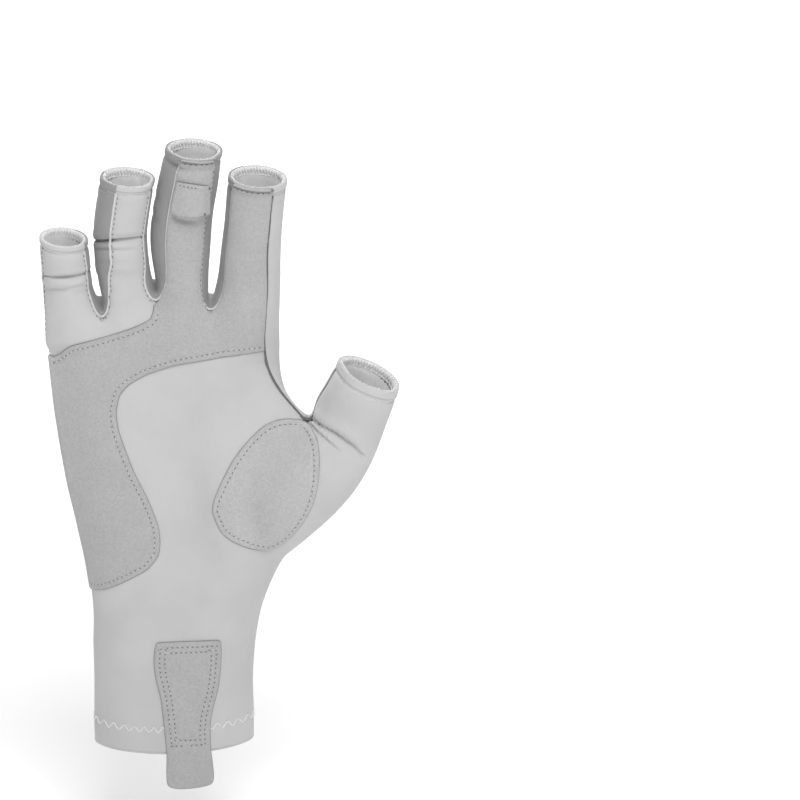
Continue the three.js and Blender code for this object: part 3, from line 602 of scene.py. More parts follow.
# Broad dents and swellings: place, direction from +X, half length, half width, depth, side.
Dent = namedtuple("Dent", "x z angle length width depth side")
DENTS = table(
    Dent,
    (-21.5, 60.0, 42, 17, 4.0, 1.3, -1),
    (-15.0, 57.0, 44, 18, 4.0, -0.6, -1),
    (-27.0, 52.0, 40, 12, 3.0, -0.4, -1),
    (19.0, 74.0, 105, 22, 6.0, 0.5, -1),
    (2.0, 84.0, 90, 26, 7.0, 0.5, -1),
    (70.0, 138.0, 140, 9, 3.0, 0.35, -1),
    (83.0, 146.0, -28, 8, 2.6, 0.35, -1),
    (34.0, 128.0, 60, 16, 6.0, -0.4, -1),
    (4.0, 132.0, 80, 26, 12.0, 0.5, -1),
    (-13.8, 166.0, 88, 18, 4.5, 1.1, 1),
    (6.8, 168.0, 90, 20, 4.5, 1.1, 1),
    (27.0, 166.0, 94, 22, 4.5, 1.1, 1),
    (-24.0, 168.0, 84, 16, 4.5, -0.7, 1),
    (-3.0, 172.0, 88, 18, 4.5, -0.7, 1),
    (17.4, 170.0, 92, 18, 4.5, -0.7, 1),
    (-20.0, 60.0, 100, 30, 6.0, 0.7, 1),
    (16.0, 56.0, 82, 30, 7.0, 0.6, 1),
    (40.0, 118.0, 80, 22, 6.0, 0.7, 1),
)

# How folds, creases and dents fade at their ends and where the cloth turns away, how a crease's
# line is smoothed, and how deep and wide the seams are sunk.
FOLD_EASE = 1.5
CREASE_SHARES = (0.25, 0.5, 0.75, 1.0)
CREASE_ROUNDS = 4
CREASE_FACING = 0.4
DENT_FACING = 0.5
SEAM_SINK = 0.5
SEAM_SHOULDER = 1.0
WOBBLE_SIZE = 17.0
WOBBLE_DEPTH = 0.35


def smooth_step(value):
    """Numbers from 0 to 1 eased at both ends."""
    value = np.clip(value, 0, 1)
    return value * value * (3 - 2 * value)


class Form:
    """The outer surface of the whole glove, sculpted, with the panel and zone of each face."""

    def __init__(self):
        bm = build_cage()
        bmesh.ops.recalc_face_normals(bm, faces=bm.faces)
        fit_through_points(bm)
        smooth = {"levels": FORM_LEVELS, "render_levels": FORM_LEVELS, "use_limit_surface": True}
        self.mesh = evaluated_mesh(bm, "form", ("SUBSURF", smooth))
        count = len(self.mesh.polygons)
        corners = np.zeros(count * 4, int)
        self.mesh.loops.foreach_get("vertex_index", corners)
        self.corners = corners.reshape(-1, 4)
        self.labels = {name: self.face_values(name) for name in ("panel", "zone", "part")}
        self.sculpt()
        self.bm = bmesh.new()
        self.bm.from_mesh(self.mesh)
        self.bm.verts.ensure_lookup_table()
        self.bm.faces.ensure_lookup_table()
        self.tree = BVHTree.FromBMesh(self.bm)

    def face_values(self, name):
        """The label numbers of all faces under that name."""
        values = np.zeros(len(self.mesh.polygons), int)
        self.mesh.attributes[name].data.foreach_get("value", values)
        return values

    def points(self):
        """Places and normals of all vertices."""
        size = len(self.mesh.vertices)
        places = np.zeros(size * 3)
        self.mesh.vertices.foreach_get("co", places)
        normals = np.zeros(size * 3)
        self.mesh.vertices.foreach_get("normal", normals)
        return places.reshape(-1, 3), normals.reshape(-1, 3)

    def touched(self, faces):
        """1 for each vertex of the chosen faces and 0 for the others."""
        mask = np.zeros(len(self.mesh.vertices))
        mask[self.corners[faces].ravel()] = 1
        return mask

    def seam_vertices(self):
        """Vertices where sewn panels meet, the closing seam of the main panel included."""
        panel = self.labels["panel"].copy()
        panel[panel == PANELS.index("cuff_hem")] = PANELS.index("main_panel")
        low = np.full(len(self.mesh.vertices), 99)
        high = np.full(len(self.mesh.vertices), -1)
        for k in range(4):
            np.minimum.at(low, self.corners[:, k], panel)
            np.maximum.at(high, self.corners[:, k], panel)
        seam = low != high
        zone = self.labels["zone"]
        front = self.touched(zone == ZONES.index("seam_front"))
        back = self.touched(zone == ZONES.index("seam_back"))
        return np.nonzero(seam | ((front > 0) & (back > 0)))[0]

    def sculpt(self):
        """Folds, creases, dents and sunk seams, as shifts along the normals."""
        places, normals = self.points()
        shift = np.zeros(len(places))
        for fold in FOLDS:
            shift -= fold_depth(places, fold) * self.part_mask(fold.part)
        for crease in CREASES:
            shift -= crease_depth(places, normals, crease)
        for dent in DENTS:
            shift -= dent_depth(places, normals, dent)
        for k, place in enumerate(places):
            shift[k] += WOBBLE_DEPTH * noise.noise(Vector(place) / WOBBLE_SIZE)
        tree = distance_tree(places[self.seam_vertices()])
        gap = np.array([tree.find(place)[2] for place in places])
        self.seam_distance = gap
        shift -= SEAM_SINK * np.exp(-((gap / SEAM_SHOULDER) ** 2))
        places += normals * shift[:, None]
        self.mesh.vertices.foreach_set("co", places.ravel())
        self.mesh.update()

    def part_mask(self, part):
        """1 on the vertices of one finger and of the hand just below it."""
        return self.touched(self.labels["part"] == PARTS.index(part))


def fold_depth(places, fold):
    """How deep a fold presses into each point."""
    finger = FINGERS[PARTS.index(fold.part) - 1]
    heights = [row.z for row in finger]
    z = places[:, 2]
    centre = np.interp(z, heights, [(row.left + row.right) / 2 for row in finger])
    half = np.interp(z, heights, [(row.right - row.left) / 2 for row in finger])
    middle = np.interp(z, heights, [row.y for row in finger])
    depth = np.interp(z, heights, [row.depth / 2 for row in finger])
    across = (places[:, 0] - centre) / half
    forward = (middle - places[:, 1]) / depth
    offset = z - fold.z - fold.rise * across * half - fold.lean * (1 - forward) * depth
    turn = np.degrees(np.arctan2(forward, across)) - fold.angle
    turn = np.abs((turn + 180) % 360 - 180)
    reach = smooth_step(FOLD_EASE * (1 - turn / fold.spread))
    return fold.depth * np.exp(-((offset / fold.width) ** 2)) * reach


def dense(points):
    """The points of a line with three more between each two."""
    result = [points[0]]
    for first, second in zip(points, points[1:]):
        for share in CREASE_SHARES:
            result.append(tuple(a + (b - a) * share for a, b in zip(first, second)))
    return result


def crease_depth(places, normals, crease):
    """How deep a crease drawn on the palm side presses into each point."""
    flat = places[:, [0, 2]]
    line = smoothed([(*point, 0) for point in dense(crease.points)], CREASE_ROUNDS)
    ends = np.array([point[:2] for point in line])
    lengths = np.linalg.norm(np.diff(ends, axis=0), axis=1)
    run = np.concatenate([[0], np.cumsum(lengths)])
    best = np.full(len(flat), 1e9)
    along = np.zeros(len(flat))
    for k, length in enumerate(lengths):
        direction = (ends[k + 1] - ends[k]) / length
        t = np.clip((flat - ends[k]) @ direction, 0, length)
        gap = np.linalg.norm(flat - ends[k] - t[:, None] * direction, axis=1)
        nearer = gap < best
        best[nearer] = gap[nearer]
        along[nearer] = (run[k] + t)[nearer] / run[-1]
    facing = smooth_step(-normals[:, 1] / CREASE_FACING)
    strength = smooth_step((1 - along) / crease.fade) * facing
    return crease.depth * np.exp(-((best / crease.width) ** 2)) * strength


def sharp_depth(bm, widen):
    """How deep the sharp folds press into each vertex, their width multiplied."""
    places = np.array([vert.co[:] for vert in bm.verts])
    normals = np.array([vert.normal[:] for vert in bm.verts])
    part = bm.faces.layers.int["part"]
    total = np.zeros(len(places))
    for fold in SHARP_FOLDS:
        own = PARTS.index(fold.part)
        mask = np.array([any(face[part] == own for face in vert.link_faces) for vert in bm.verts])
        total += mask * fold_depth(places, fold._replace(width=fold.width * widen))
    for crease in SHARP_CREASES:
        total += crease_depth(places, normals, crease._replace(width=crease.width * widen))
    return total


def press_sharp_folds(bm):
    """Makes the cloth finer along the sharp folds and presses them in."""
    bm.verts.index_update()
    near = sharp_depth(bm, SHARP_REACH)
    faces = [face for face in bm.faces if max(near[vert.index] for vert in face.verts) > SHARP_NEAR]
    if not faces:
        return
    edges = list(dict.fromkeys(edge for face in faces for edge in face.edges))
    bmesh.ops.subdivide_edges(bm, edges=edges, cuts=SHARP_CUTS, use_grid_fill=True)
    bm.normal_update()
    for vert, depth in zip(bm.verts, sharp_depth(bm, 1.0)):
        vert.co -= vert.normal * depth


def dent_depth(places, normals, dent):
    """How deep a broad dent presses into each point."""
    angle = math.radians(dent.angle)
    x = places[:, 0] - dent.x
    z = places[:, 2] - dent.z
    along = x * math.cos(angle) + z * math.sin(angle)
    across = z * math.cos(angle) - x * math.sin(angle)
    side = smooth_step(dent.side * normals[:, 1] / DENT_FACING)
    return dent.depth * side * np.exp(-((along / dent.length) ** 2) - (across / dent.width) ** 2)


@lru_cache(maxsize=1)
def glove_form():
    """The form, worked out once."""
    return Form()


SEAM_GAP = 0.14
SMALLEST_PULL = 0.2
HEM_SWELL = 0.18

# The fold over a fingertip's rim: rise over the rim and reach inwards, outer edge first. Inside,
# the turned-in cloth follows the finger: rings below the rim and its reach from the outside.
RIM_FOLD = ((0.16, 0.06), (0.24, 0.3), (0.24, 0.7), (0.1, 1.06))
Lining = namedtuple("Lining", "ring reach")
LINING = table(
    Lining,
    (1, 1.36), (3, 1.46), (5, 1.46), (8, 1.44), (11, 1.44),
    (15, 1.44), (19, 1.44), (22, 1.4), (22, 1.16), (15, 1.14),
    (9, 1.1),
)
LINING_RINGS = max(step.ring for step in LINING)
CUFF_GAP = 0.05
CUFF_HEIGHT = 10.9
CUFF_FOLD = (
    (0.28, 0.1), (0.42, 0.42), (0.4, 0.8), (0.16, 1.1), (-0.8, 1.24), (-3.0, 1.3),
    (-6.0, 1.32), (-9.0, 1.32), (-10.6, 1.26), (-10.9, 1.0), (-10.9, 0.76),
)


def bmesh_of(form, wanted):
    """A copy of the form's faces that are wanted, given as true or false for each face."""
    bm = bmesh.new()
    bm.from_mesh(form.mesh)
    bm.faces.ensure_lookup_table()
    doomed = [face for face, keep in zip(bm.faces, wanted) if not keep]
    bmesh.ops.delete(bm, geom=doomed, context="FACES")
    return bm


def open_closing_seam(bm):
    """Splits the main panel along its seam on the little-finger side."""
    zone = bm.faces.layers.int["zone"]
    seam = [edge for edge in bm.edges if {face[zone] for face in edge.link_faces} == CLOSING_SEAM]
    bmesh.ops.split_edges(bm, edges=seam)


def draw_in_border(bm, gap):
    """Moves the border a little into the cloth, which leaves a seam line beside it."""
    inward = {}
    for edge in bm.edges:
        if not edge.is_boundary:
            continue
        face = edge.link_faces[0]
        along = (edge.verts[1].co - edge.verts[0].co).normalized()
        away = face.calc_center_median() - (edge.verts[0].co + edge.verts[1].co) / 2
        away -= along * away.dot(along)
        for vert in edge.verts:
            inward.setdefault(vert, []).append(away.normalized())
    for vert, pulls in inward.items():
        total = sum(pulls, Vector())
        if total.length > SMALLEST_PULL:
            vert.co += total.normalized() * gap


def border_rings(bm, direction):
    """The closed border loops of a band as lists of vertices, from low to high in a direction."""
    rings = chain_edges([edge for edge in bm.edges if edge.is_boundary])
    return sorted(rings, key=lambda ring: mean(places_of(ring)).dot(direction))


# The flat cut of each piece of cloth: width and length in millimetres, area in square centimetres.
Cut = namedtuple("Cut", "width length area")
CUTS = {
    "main_panel_knit": Cut(365, 246, 418),
    "thumb_gusset_knit": Cut(31, 158, 28),
    "fourchette_index_middle_knit": Cut(22, 128, 19),
    "fourchette_middle_ring_knit": Cut(21, 122, 17),
    "fourchette_ring_little_knit": Cut(19, 110, 13),
    "index_hem_knit": Cut(68, 16, 10.8),
    "middle_hem_knit": Cut(70, 16, 11.2),
    "ring_hem_knit": Cut(66, 15.5, 10.2),
    "little_hem_knit": Cut(54, 12.5, 6.7),
    "thumb_hem_knit": Cut(80, 17, 13.6),
    "cuff_hem_knit": Cut(168, 11, 18.4),
    "palm_patch_suede": Cut(92, 180, 65),
    "ball_patch_suede": Cut(44, 54, 18),
    "finger_loop_suede": Cut(16.5, 15, 2.3),
    "pull_tab_suede": Cut(27, 62, 14),
}
SQUARE_CM = 1e-4


def finish_piece(bm, name, look, nodes=()):
    """Turns a bmesh in millimetres into a finished piece that rides on the glove."""
    bmesh.ops.scale(bm, vec=(MM, MM, MM), verts=bm.verts)
    mesh = mesh_of(bm, name)
    mesh.shade_smooth()
    piece = add_object(name, mesh)
    mesh.materials.append(look)
    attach(piece, "root")
    if nodes:
        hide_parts(*nodes)
    if name in CUTS:
        cut = CUTS[name]
        flat = (cut.width * MM, cut.length * MM)
        cut.area * SQUARE_CM
    return piece


def build_panel(form, panel, look):
    """One panel of knit as a closed wall, its border sunk into the seams."""
    wanted = form.labels["panel"] == PANELS.index(panel)
    if panel == "main_panel":
        wanted |= form.labels["panel"] == PANELS.index("cuff_hem")
    bm = bmesh_of(form, wanted)
    if panel == "main_panel":
        open_closing_seam(bm)
    draw_in_border(bm, SEAM_GAP)
    press_sharp_folds(bm)
    piece = finish_piece(bm, f"{panel}_knit", look, (panel,))
    wall = piece.modifiers.new("wall", "SOLIDIFY")
    wall.thickness = size("knit_wall") * MM
    wall.offset = -1
    return piece


def ring_axis(ring, towards):
    """The direction across a ring, on the side given."""
    centre = mean(places_of(ring))
    axis = Vector()
    for j, vert in enumerate(ring):
        axis += (ring[j - 1].co - centre).cross(vert.co - centre)
    axis.normalize()
    return axis if axis.dot(towards) > 0 else -axis


def fold_over(bm, ring, axis, fold):
    """Grows a turned-in edge from a ring along a fold profile and returns its last ring."""
    rim = places_of(ring)
    centre = mean(rim)
    out = []
    for place in rim:
        away = place - centre
        away -= axis * away.dot(axis)
        out.append(away.normalized())
    for rise, reach in fold:
        places = [p + axis * rise - o * reach for p, o in zip(rim, out)]
        ring = grow_ring(bm, ring, places)
    return ring


def rings_below(form, part, count=LINING_RINGS):
    """The form's ring of points at a fingertip's rim and the rings that follow below it."""
    panel = form.bm.faces.layers.int["panel"]
    hem = PANELS.index(f"{part}_hem")
    edges = [e for e in form.bm.edges if e.is_boundary and e.link_faces[0][panel] == hem]
    rings = chain_edges(edges)
    seen = set(rings[0])
    for _ in range(count):
        below = []
        for vert in rings[-1]:
            beside = [edge.other_vert(vert) for edge in vert.link_edges]
            below.append(next(other for other in beside if other not in seen))
        seen.update(below)
        rings.append(below)
    return rings


# Fingers whose suede front reaches the rim.
SUEDE_FRONTS = ("middle", "index")
THUMB_AXIS = Vector((0.62, -0.1, 0.78))


def tip_direction(part):
    """Roughly where a fingertip points."""
    return THUMB_AXIS if part == "thumb" else UP


def build_tip_hem(form, part, looks):
    """The band at a fingertip: cloth outside, a thin fold and the turned-in cloth inside."""
    bm = bmesh_of(form, form.labels["panel"] == PANELS.index(f"{part}_hem"))
    for vert in bm.verts:
        vert.co += vert.normal * HEM_SWELL
    lower, rim = border_rings(bm, tip_direction(part))
    inside = rings_below(form, part)
    order = [min(range(len(rim)), key=lambda k, vert=vert: (inside[0][k].co - vert.co).length)
             for vert in rim]
    last = fold_over(bm, rim, ring_axis(rim, tip_direction(part)), RIM_FOLD)
    outside = set(bm.faces)
    for step in LINING:
        walls = [inside[step.ring][k] for k in order]
        last = grow_ring(bm, last, [vert.co - vert.normal * step.reach for vert in walls])
    close_band(bm, lower, last)
    zone = bm.faces.layers.int["zone"]
    for face in bm.faces:
        # Faces inside get the brightened turned-in knit, which paints light into the opening.
        if face not in outside:
            face.material_index = 1
        # Faces over the side strips get the darker knit, which paints the shade between the
        # fingers.
        elif face[zone] == ZONES.index("side"):
            face.material_index = 2
        elif face[zone] == ZONES.index("front") and part in SUEDE_FRONTS:
            face.material_index = 3
    piece = finish_piece(bm, f"{part}_hem_knit", looks[0], (f"{part}_hem",))
    for look in looks[1:]:
        piece.data.materials.append(look)
    return piece


def close_band(bm, first, last):
    """Joins two rings of a band so that it is a closed body, its faces outwards."""
    bmesh.ops.bridge_loops(bm, edges=ring_edges(bm, first) + ring_edges(bm, last))
    bmesh.ops.recalc_face_normals(bm, faces=bm.faces)


def build_cuff_hem(form, look):
    """The turned-in edge of the wrist: a round fold below and the doubled band inside."""
    bm = bmesh_of(form, form.labels["panel"] == PANELS.index("cuff_hem"))
    rim = places_of(border_rings(bm, UP)[0])
    bm.clear()
    ring = new_ring(bm, [place - UP * CUFF_GAP for place in rim])
    last = fold_over(bm, ring, -UP, CUFF_FOLD)
    centre = mean(rim)
    inner = [place - (place - centre).normalized() * size("knit_wall") for place in rim]
    last = grow_ring(bm, last, [place + UP * CUFF_HEIGHT for place in inner])
    close_band(bm, ring, last)
    return finish_piece(bm, "cuff_hem_knit", look, ("cuff_hem",))


# Outlines of the suede pieces seen from the palm.
Spot = namedtuple("Spot", "x z")
PALM_PATCH_EDGE = table(
    Spot,
    (-60, 160), (-44.2, 162.0), (-37.0, 167.1), (-24.1, 171.0), (-11.9, 175.2), (-6.1, 177.9),
    (-4.6, 181.6), (-4.4, 187.0), (-8, 200), (-8, 262), (60, 262), (60, 164.2),
    (38.6, 163.6), (22.6, 162.6), (12.8, 161.1), (2.5, 159.3), (-7.3, 156.2), (-14.4, 152.3),
    (-18.6, 147.7), (-20.2, 140.8), (-19.5, 133.6), (-16.9, 125.2), (-13.2, 115.2), (-8.3, 105.0),
    (-4.6, 94.5), (-3.9, 87.5), (-4.8, 82.0), (-8.9, 76.9), (-15.3, 73.2), (-24.5, 68.3),
    (-30.2, 66.2), (-60, 62),
)
BALL_PATCH_EDGE = table(
    Spot,
    (49.1, 137.0), (54.9, 135.1), (58.4, 130.0), (59.4, 120.6), (57.9, 108.0), (53.8, 97.8),
    (47.4, 89.2), (41.5, 84.8), (37.5, 84.1), (29.4, 86.5), (21.4, 91.4), (17.6, 98.5),
    (17.1, 103.4), (20.8, 112.8), (27.0, 123.3), (34.1, 131.3), (41.0, 136.0),
)
PULL_TAB_EDGE = table(
    Spot,
    (-6.5, 45.2), (-3.7, 46.6), (17.6, 46.8), (19.7, 43.8), (19.6, 36.6), (18.5, 26.9),
    (16.0, 17.2), (14.9, 10.8), (14.9, 1.4), (15.9, -10.3), (14.3, -14.1), (2.5, -14.7),
    (-2.4, -13.3), (-3.1, -8.5), (-2.9, 0.5), (-3.8, 12.5), (-4.8, 22.8), (-6.6, 31.3),
    (-7.3, 37.8),
)
LOOP_EDGE = table(
    Spot,
    (-6, 236.2), (4.4, 234.2), (18.1, 231.8), (30, 231.4), (30, 219.9),
    (16.4, 219.9), (10.7, 219.5), (5.7, 220.1), (1.5, 221.4), (-6, 223.4),
)
EDGE_TENSION = {"palm": 0.3, "ball": 0.5, "loop": 0.0, "tab": 0.4}
EDGE_STEPS = 6
CUTTER_FRONT = -70
CUTTER_BACK = 0.4

# Suede in millimetres: its lift off the cloth and its rounded edge, the dark line that paints the
# shadow at the edge's foot, the sewn row beside the edge. A share is one of the suede's thickness.
SUEDE_LIFT = 0.12
SUEDE_DRAW_IN = 0.5
SUEDE_ROUNDING = 1.0
ROUNDING_SHARE = 0.62
TOP_SHARE = 0.3
TOP_FACING = 0.6
OVER_SHARE = 0.8
MERGE = 0.01
EDGE_SHADOW_DROP = 0.2
EDGE_SHADOW_RADIUS = 0.2
EDGE_SHADOW_REACH = 1.6
LOOP_GAP = 2
ROW_INSET = 2.1
ROW_SINK = 0.26
ROW_SPREAD = 0.6
ROW_REACH = 5
ROW_OFF_SEAM = 2
ROW_KEPT = 0.86
FAR = 99
LOOP_LIFT = 1.3
LOOP_END = 1.05
LOOP_MARGIN = 0.9
LOOP_ARCH = 2.2
LOOP_SEAM_Z = 233.5
LOOP_DROP = 13
LOOP_CREST = 1.6
LOOP_SPAN = 0.68
LOOP_ROW = FINGERS[2][3]
TAB_LEAVES_Z = 1.5
TAB_LEAN = 0.06
TAB_LIFT = 0.3
TAB_WALL = 1.0
TAB_GRID = {"x_segments": 30, "y_segments": 62, "size": 1.0}
TAB_CENTRE = (6, 16)
TAB_HALF = (17, 34)
OUTLINE_MARGIN = 7.0
PALM_SIDE_Y = 1
OUTSIDE = 100


def smooth_outline(outline, tension):
    """The curve through the spots of an outline, as x and z."""
    spots = np.array(outline, float)
    ahead = np.roll(spots, -1, axis=0)
    slope = tension * (ahead - np.roll(spots, 1, axis=0))
    t = (np.arange(EDGE_STEPS) / EDGE_STEPS)[:, None]
    curve = []
    for k, spot in enumerate(spots):
        following = (k + 1) % len(spots)
        curve.append(
            (2 * t**3 - 3 * t**2 + 1) * spot + (t**3 - 2 * t**2 + t) * slope[k]
            + (3 * t**2 - 2 * t**3) * spots[following] + (t**3 - t**2) * slope[following])
    return np.concatenate(curve)


def outline_cutter(outline, tension):
    """A tall prism over an outline, which cuts a patch out of a wall of suede."""
    curve = smooth_outline(outline, tension)
    bm = bmesh.new()
    new_ring(bm, [(x, CUTTER_FRONT, z) for x, z in curve], filled=True)
    made = bmesh.ops.extrude_face_region(bm, geom=bm.faces[:])["geom"]
    far = [item for item in made if isinstance(item, bmesh.types.BMVert)]
    bmesh.ops.translate(bm, vec=(0, CUTTER_BACK - CUTTER_FRONT, 0), verts=far)
    bmesh.ops.recalc_face_normals(bm, faces=bm.faces)
    return add_object("cutter", mesh_of(bm, "cutter"))


class Suede:
    """A piece of suede cut out of a sheet: its mesh in millimetres, its edge and its top side."""

    def __init__(self, sheet, outline, tension, wall=None):
        self.wall = wall or size("suede_wall")
        cutter = outline_cutter(outline, tension)
        finer = {"levels": 1, "render_levels": 1, "boundary_smooth": "PRESERVE_CORNERS"}
        thick = {"thickness": self.wall, "offset": -1}
        cut = {"operation": "INTERSECT", "solver": "EXACT", "object": cutter}
        sheet = bmesh_from(evaluated_mesh(sheet, "suede", ("SUBSURF", finer)))
        self.top = BVHTree.FromBMesh(sheet)
        mesh = evaluated_mesh(sheet, "suede", ("SOLIDIFY", thick), ("BOOLEAN", cut))
        bpy.data.objects.remove(cutter)
        self.bm = bmesh_from(mesh)
        bmesh.ops.remove_doubles(self.bm, verts=self.bm.verts, dist=MERGE)
        self.find_edge()

    def edge_shadow_strands(self):
        """A dark line of painted shadow at the cut edge's foot, left out along the fingertips'
        hems.
        """
        hems = hem_tree()
        strands = []
        for loop in self.loops:
            strands.append([])
            is_closed = (loop[0].co - loop[-1].co).length < LOOP_GAP
            for vert in [*loop, *loop[:is_closed]]:
                if hems.find(vert.co)[2] < EDGE_SHADOW_REACH:
                    strands.append([])
                    continue
                _, normal, _, _ = self.top.find_nearest(vert.co)
                strands[-1].append((vert.co - normal * EDGE_SHADOW_DROP, EDGE_SHADOW_RADIUS))
        return [strand for strand in strands if len(strand) > 1]

    def find_edge(self):
        """Finds the top side and the loops of edges that bound it."""
        upper = set()
        for face in self.bm.faces:
            place, normal, _, gap = self.top.find_nearest(face.calc_center_median())
            if gap < self.wall * TOP_SHARE and face.normal.dot(normal) > TOP_FACING:
                upper.add(face)
        self.upper = upper
        rim = [e for e in self.bm.edges if len(e.link_faces) == 2
               and (e.link_faces[0] in upper) != (e.link_faces[1] in upper)]
        self.loops = chain_edges(rim)
        self.upper_verts = {vert for face in upper for vert in face.verts}

    def shape_edge(self, seam_tree):
        """Rounds the cut edge and presses in the sewn row beside it."""
        self.edge_tree = distance_tree([vert.co.copy() for loop in self.loops for vert in loop])
        for vert in self.upper_verts:
            gap = self.edge_tree.find(vert.co)[2]
            if gap > ROW_REACH:
                continue
            share = 1 - min(1, gap / SUEDE_ROUNDING)
            drop = self.wall * ROUNDING_SHARE * (1 - math.sqrt(max(0, 1 - share * share)))
            seam_gap = seam_tree.find(vert.co)[2] if seam_tree else FAR
            if seam_gap > ROW_INSET + ROW_OFF_SEAM:
                drop += ROW_SINK * math.exp(-(((gap - ROW_INSET) / ROW_SPREAD) ** 2))
            vert.co -= self.top.find_nearest(vert.co)[1] * drop
        self.bm.normal_update()
        self.surface = BVHTree.FromBMesh(self.bm)

    def row(self, loop, inset):
        """Points inside an edge loop at a distance from it, on the top side."""
        places = places_of(loop)
        ahead = [*places[1:], places[0]]
        behind = [places[-1], *places[:-1]]
        points = beside(self.top, places, ahead, behind, inset, self.is_inside)
        return [point for point in points if self.edge_tree.find(point)[2] > inset * ROW_KEPT]

    def is_inside(self, spot, _):
        """Whether a spot lies over the suede itself and not beyond its edge."""
        _, _, index, gap = self.surface.find_nearest(spot)
        self.bm.faces.ensure_lookup_table()
        return self.bm.faces[index] in self.upper and gap < self.wall * OVER_SHARE


def beside(surface, places, ahead, behind, offset, is_wanted):
    """A line on a surface beside another one, on the side where a test of place and face holds."""
    line = []
    for place, following, former in zip(places, ahead, behind):
        _, normal, _, _ = surface.find_nearest(place)
        side = normal.cross((following - former).normalized()).normalized()
        for sign in (1, -1):
            spot, _, face, _ = surface.find_nearest(place + side * sign * offset)
            if is_wanted(spot, face):
                line.append(spot)
                break
    return line


def chain_edges(edges):
    """Joins edges end to end into runs of vertices."""
    links = {}
    for edge in edges:
        for vert in edge.verts:
            links.setdefault(vert, []).append(edge)
    left = set(edges)
    runs = []
    ends = [vert for vert, linked in links.items() if len(linked) != 2]
    for start in [*ends, *links]:
        while edge := next((edge for edge in links[start] if edge in left), None):
            run = [start]
            while edge:
                left.discard(edge)
                run.append(edge.other_vert(run[-1]))
                linked = links[run[-1]]
                edge = next((e for e in linked if e in left), None) if len(linked) == 2 else None
            runs.append(run)
    for run in runs:
        if run[0] is run[-1]:
            run.pop()
    return runs


def near_outline(form, wanted, outline):
    """Keeps those wanted faces that lie on the palm side near an outline."""
    spots = np.array(outline, float)
    low, high = spots.min(axis=0) - OUTLINE_MARGIN, spots.max(axis=0) + OUTLINE_MARGIN
    result = wanted.copy()
    for k in np.nonzero(wanted)[0]:
        middle = form.bm.faces[int(k)].calc_center_median()
        is_near = low[0] < middle.x < high[0] and low[1] < middle.z < high[1]
        result[k] = is_near and middle.y < PALM_SIDE_Y
    return result


def patch_sheet(form, wanted, height):
    """The form's wanted faces, each vertex raised by the height at its place."""
    bm = bmesh_of(form, wanted)
    normals = {vert: vert.normal.copy() for vert in bm.verts}
    draw_in_border(bm, SUEDE_DRAW_IN)
    for vert, normal in normals.items():
        vert.co += normal * height(vert.co)
    return bm


def patch_height(_):
    """How far the top of a flat patch stands off the cloth."""
    return SUEDE_LIFT + size("suede_wall")


def loop_height(place):
    """How far the pull band stands off the finger."""
    crest = (LOOP_ROW.left + LOOP_ROW.right) / 2 + LOOP_CREST
    share = (place.x - crest) / (LOOP_SPAN * (LOOP_ROW.right - LOOP_ROW.left) / 2)
    drop = min(1, max(0, (LOOP_SEAM_Z - place.z) / LOOP_DROP))
    crown = max(0, 1 - share**4)
    return LOOP_END + (LOOP_LIFT + size("suede_wall") - LOOP_END + LOOP_ARCH * drop) * crown


def on_front(surface, x, z):
    """The point of a surface that is seen from the palm side over x and z, and its normal."""
    place, normal, _, _ = surface.ray_cast(Vector((x, -OUTSIDE, z)), -PALMWARD)
    return place, normal


def tab_sheet(form):
    """The pull tab's front side over a grid, following the wrist and hanging free below it."""
    bm = bmesh.new()
    bmesh.ops.create_grid(bm, **TAB_GRID)
    for vert in bm.verts:
        x = TAB_CENTRE[0] + vert.co.x * TAB_HALF[0]
        z = TAB_CENTRE[1] + vert.co.y * TAB_HALF[1]
        below = max(0, TAB_LEAVES_Z - z)
        place, _ = on_front(form.tree, x, z + below)
        vert.co = (x, place.y - TAB_LIFT - size("suede_wall") - below * TAB_LEAN, z)
    bmesh.ops.recalc_face_normals(bm, faces=bm.faces)
    if sum(face.normal.y for face in bm.faces) > 0:
        bmesh.ops.reverse_faces(bm, faces=bm.faces)
    return bm


def resample(points, pitch, start=0.0, closed=False):
    """Places at even distances along a run of points, with the direction at each."""
    path = [Vector(p) for p in points]
    if closed:
        path.append(path[0].copy())
    spots = []
    due = start
    travelled = 0.0
    for first, second in zip(path, path[1:]):
        step = (second - first).length
        if step < 1e-9:
            continue
        direction = (second - first) / step
        while due <= travelled + step:
            spots.append((first + direction * (due - travelled), direction))
            due += pitch
        travelled += step
    return spots


def smoothed(points, rounds=2, closed=False):
    """A run of points with its small wiggles evened out."""
    path = np.array([tuple(p) for p in points], float)
    for _ in range(rounds):
        before, after = np.roll(path, 1, axis=0), np.roll(path, -1, axis=0)
        blended = (before + 2 * path + after) / 4
        if not closed:
            blended[0], blended[-1] = path[0], path[-1]
        path = blended
    return [Vector(p) for p in path]


# A strand is a run of places with a radius at each: threads, needle holes and pipings.
def add_strands(name, strands, look, sides=6):
    """Makes one piece of many strands."""
    curve = bpy.data.curves.new(name, "CURVE")
    curve.dimensions = "3D"
    curve.bevel_depth = 1.0
    curve.bevel_resolution = (sides - 4) // 2
    curve.use_fill_caps = True
    for strand in strands:
        spline = curve.splines.new("POLY")
        spline.points.add(len(strand) - 1)
        for point, (place, radius) in zip(spline.points, strand):
            point.co = (*(Vector(place) * MM), 1)
            point.radius = radius * MM
    bm = bmesh_from(evaluated(add_object(name, curve)))
    bpy.data.curves.remove(curve)
    bmesh.ops.recalc_face_normals(bm, faces=bm.faces)
    bmesh.ops.scale(bm, vec=(1 / MM,) * 3, verts=bm.verts)
    return finish_piece(bm, name, look)
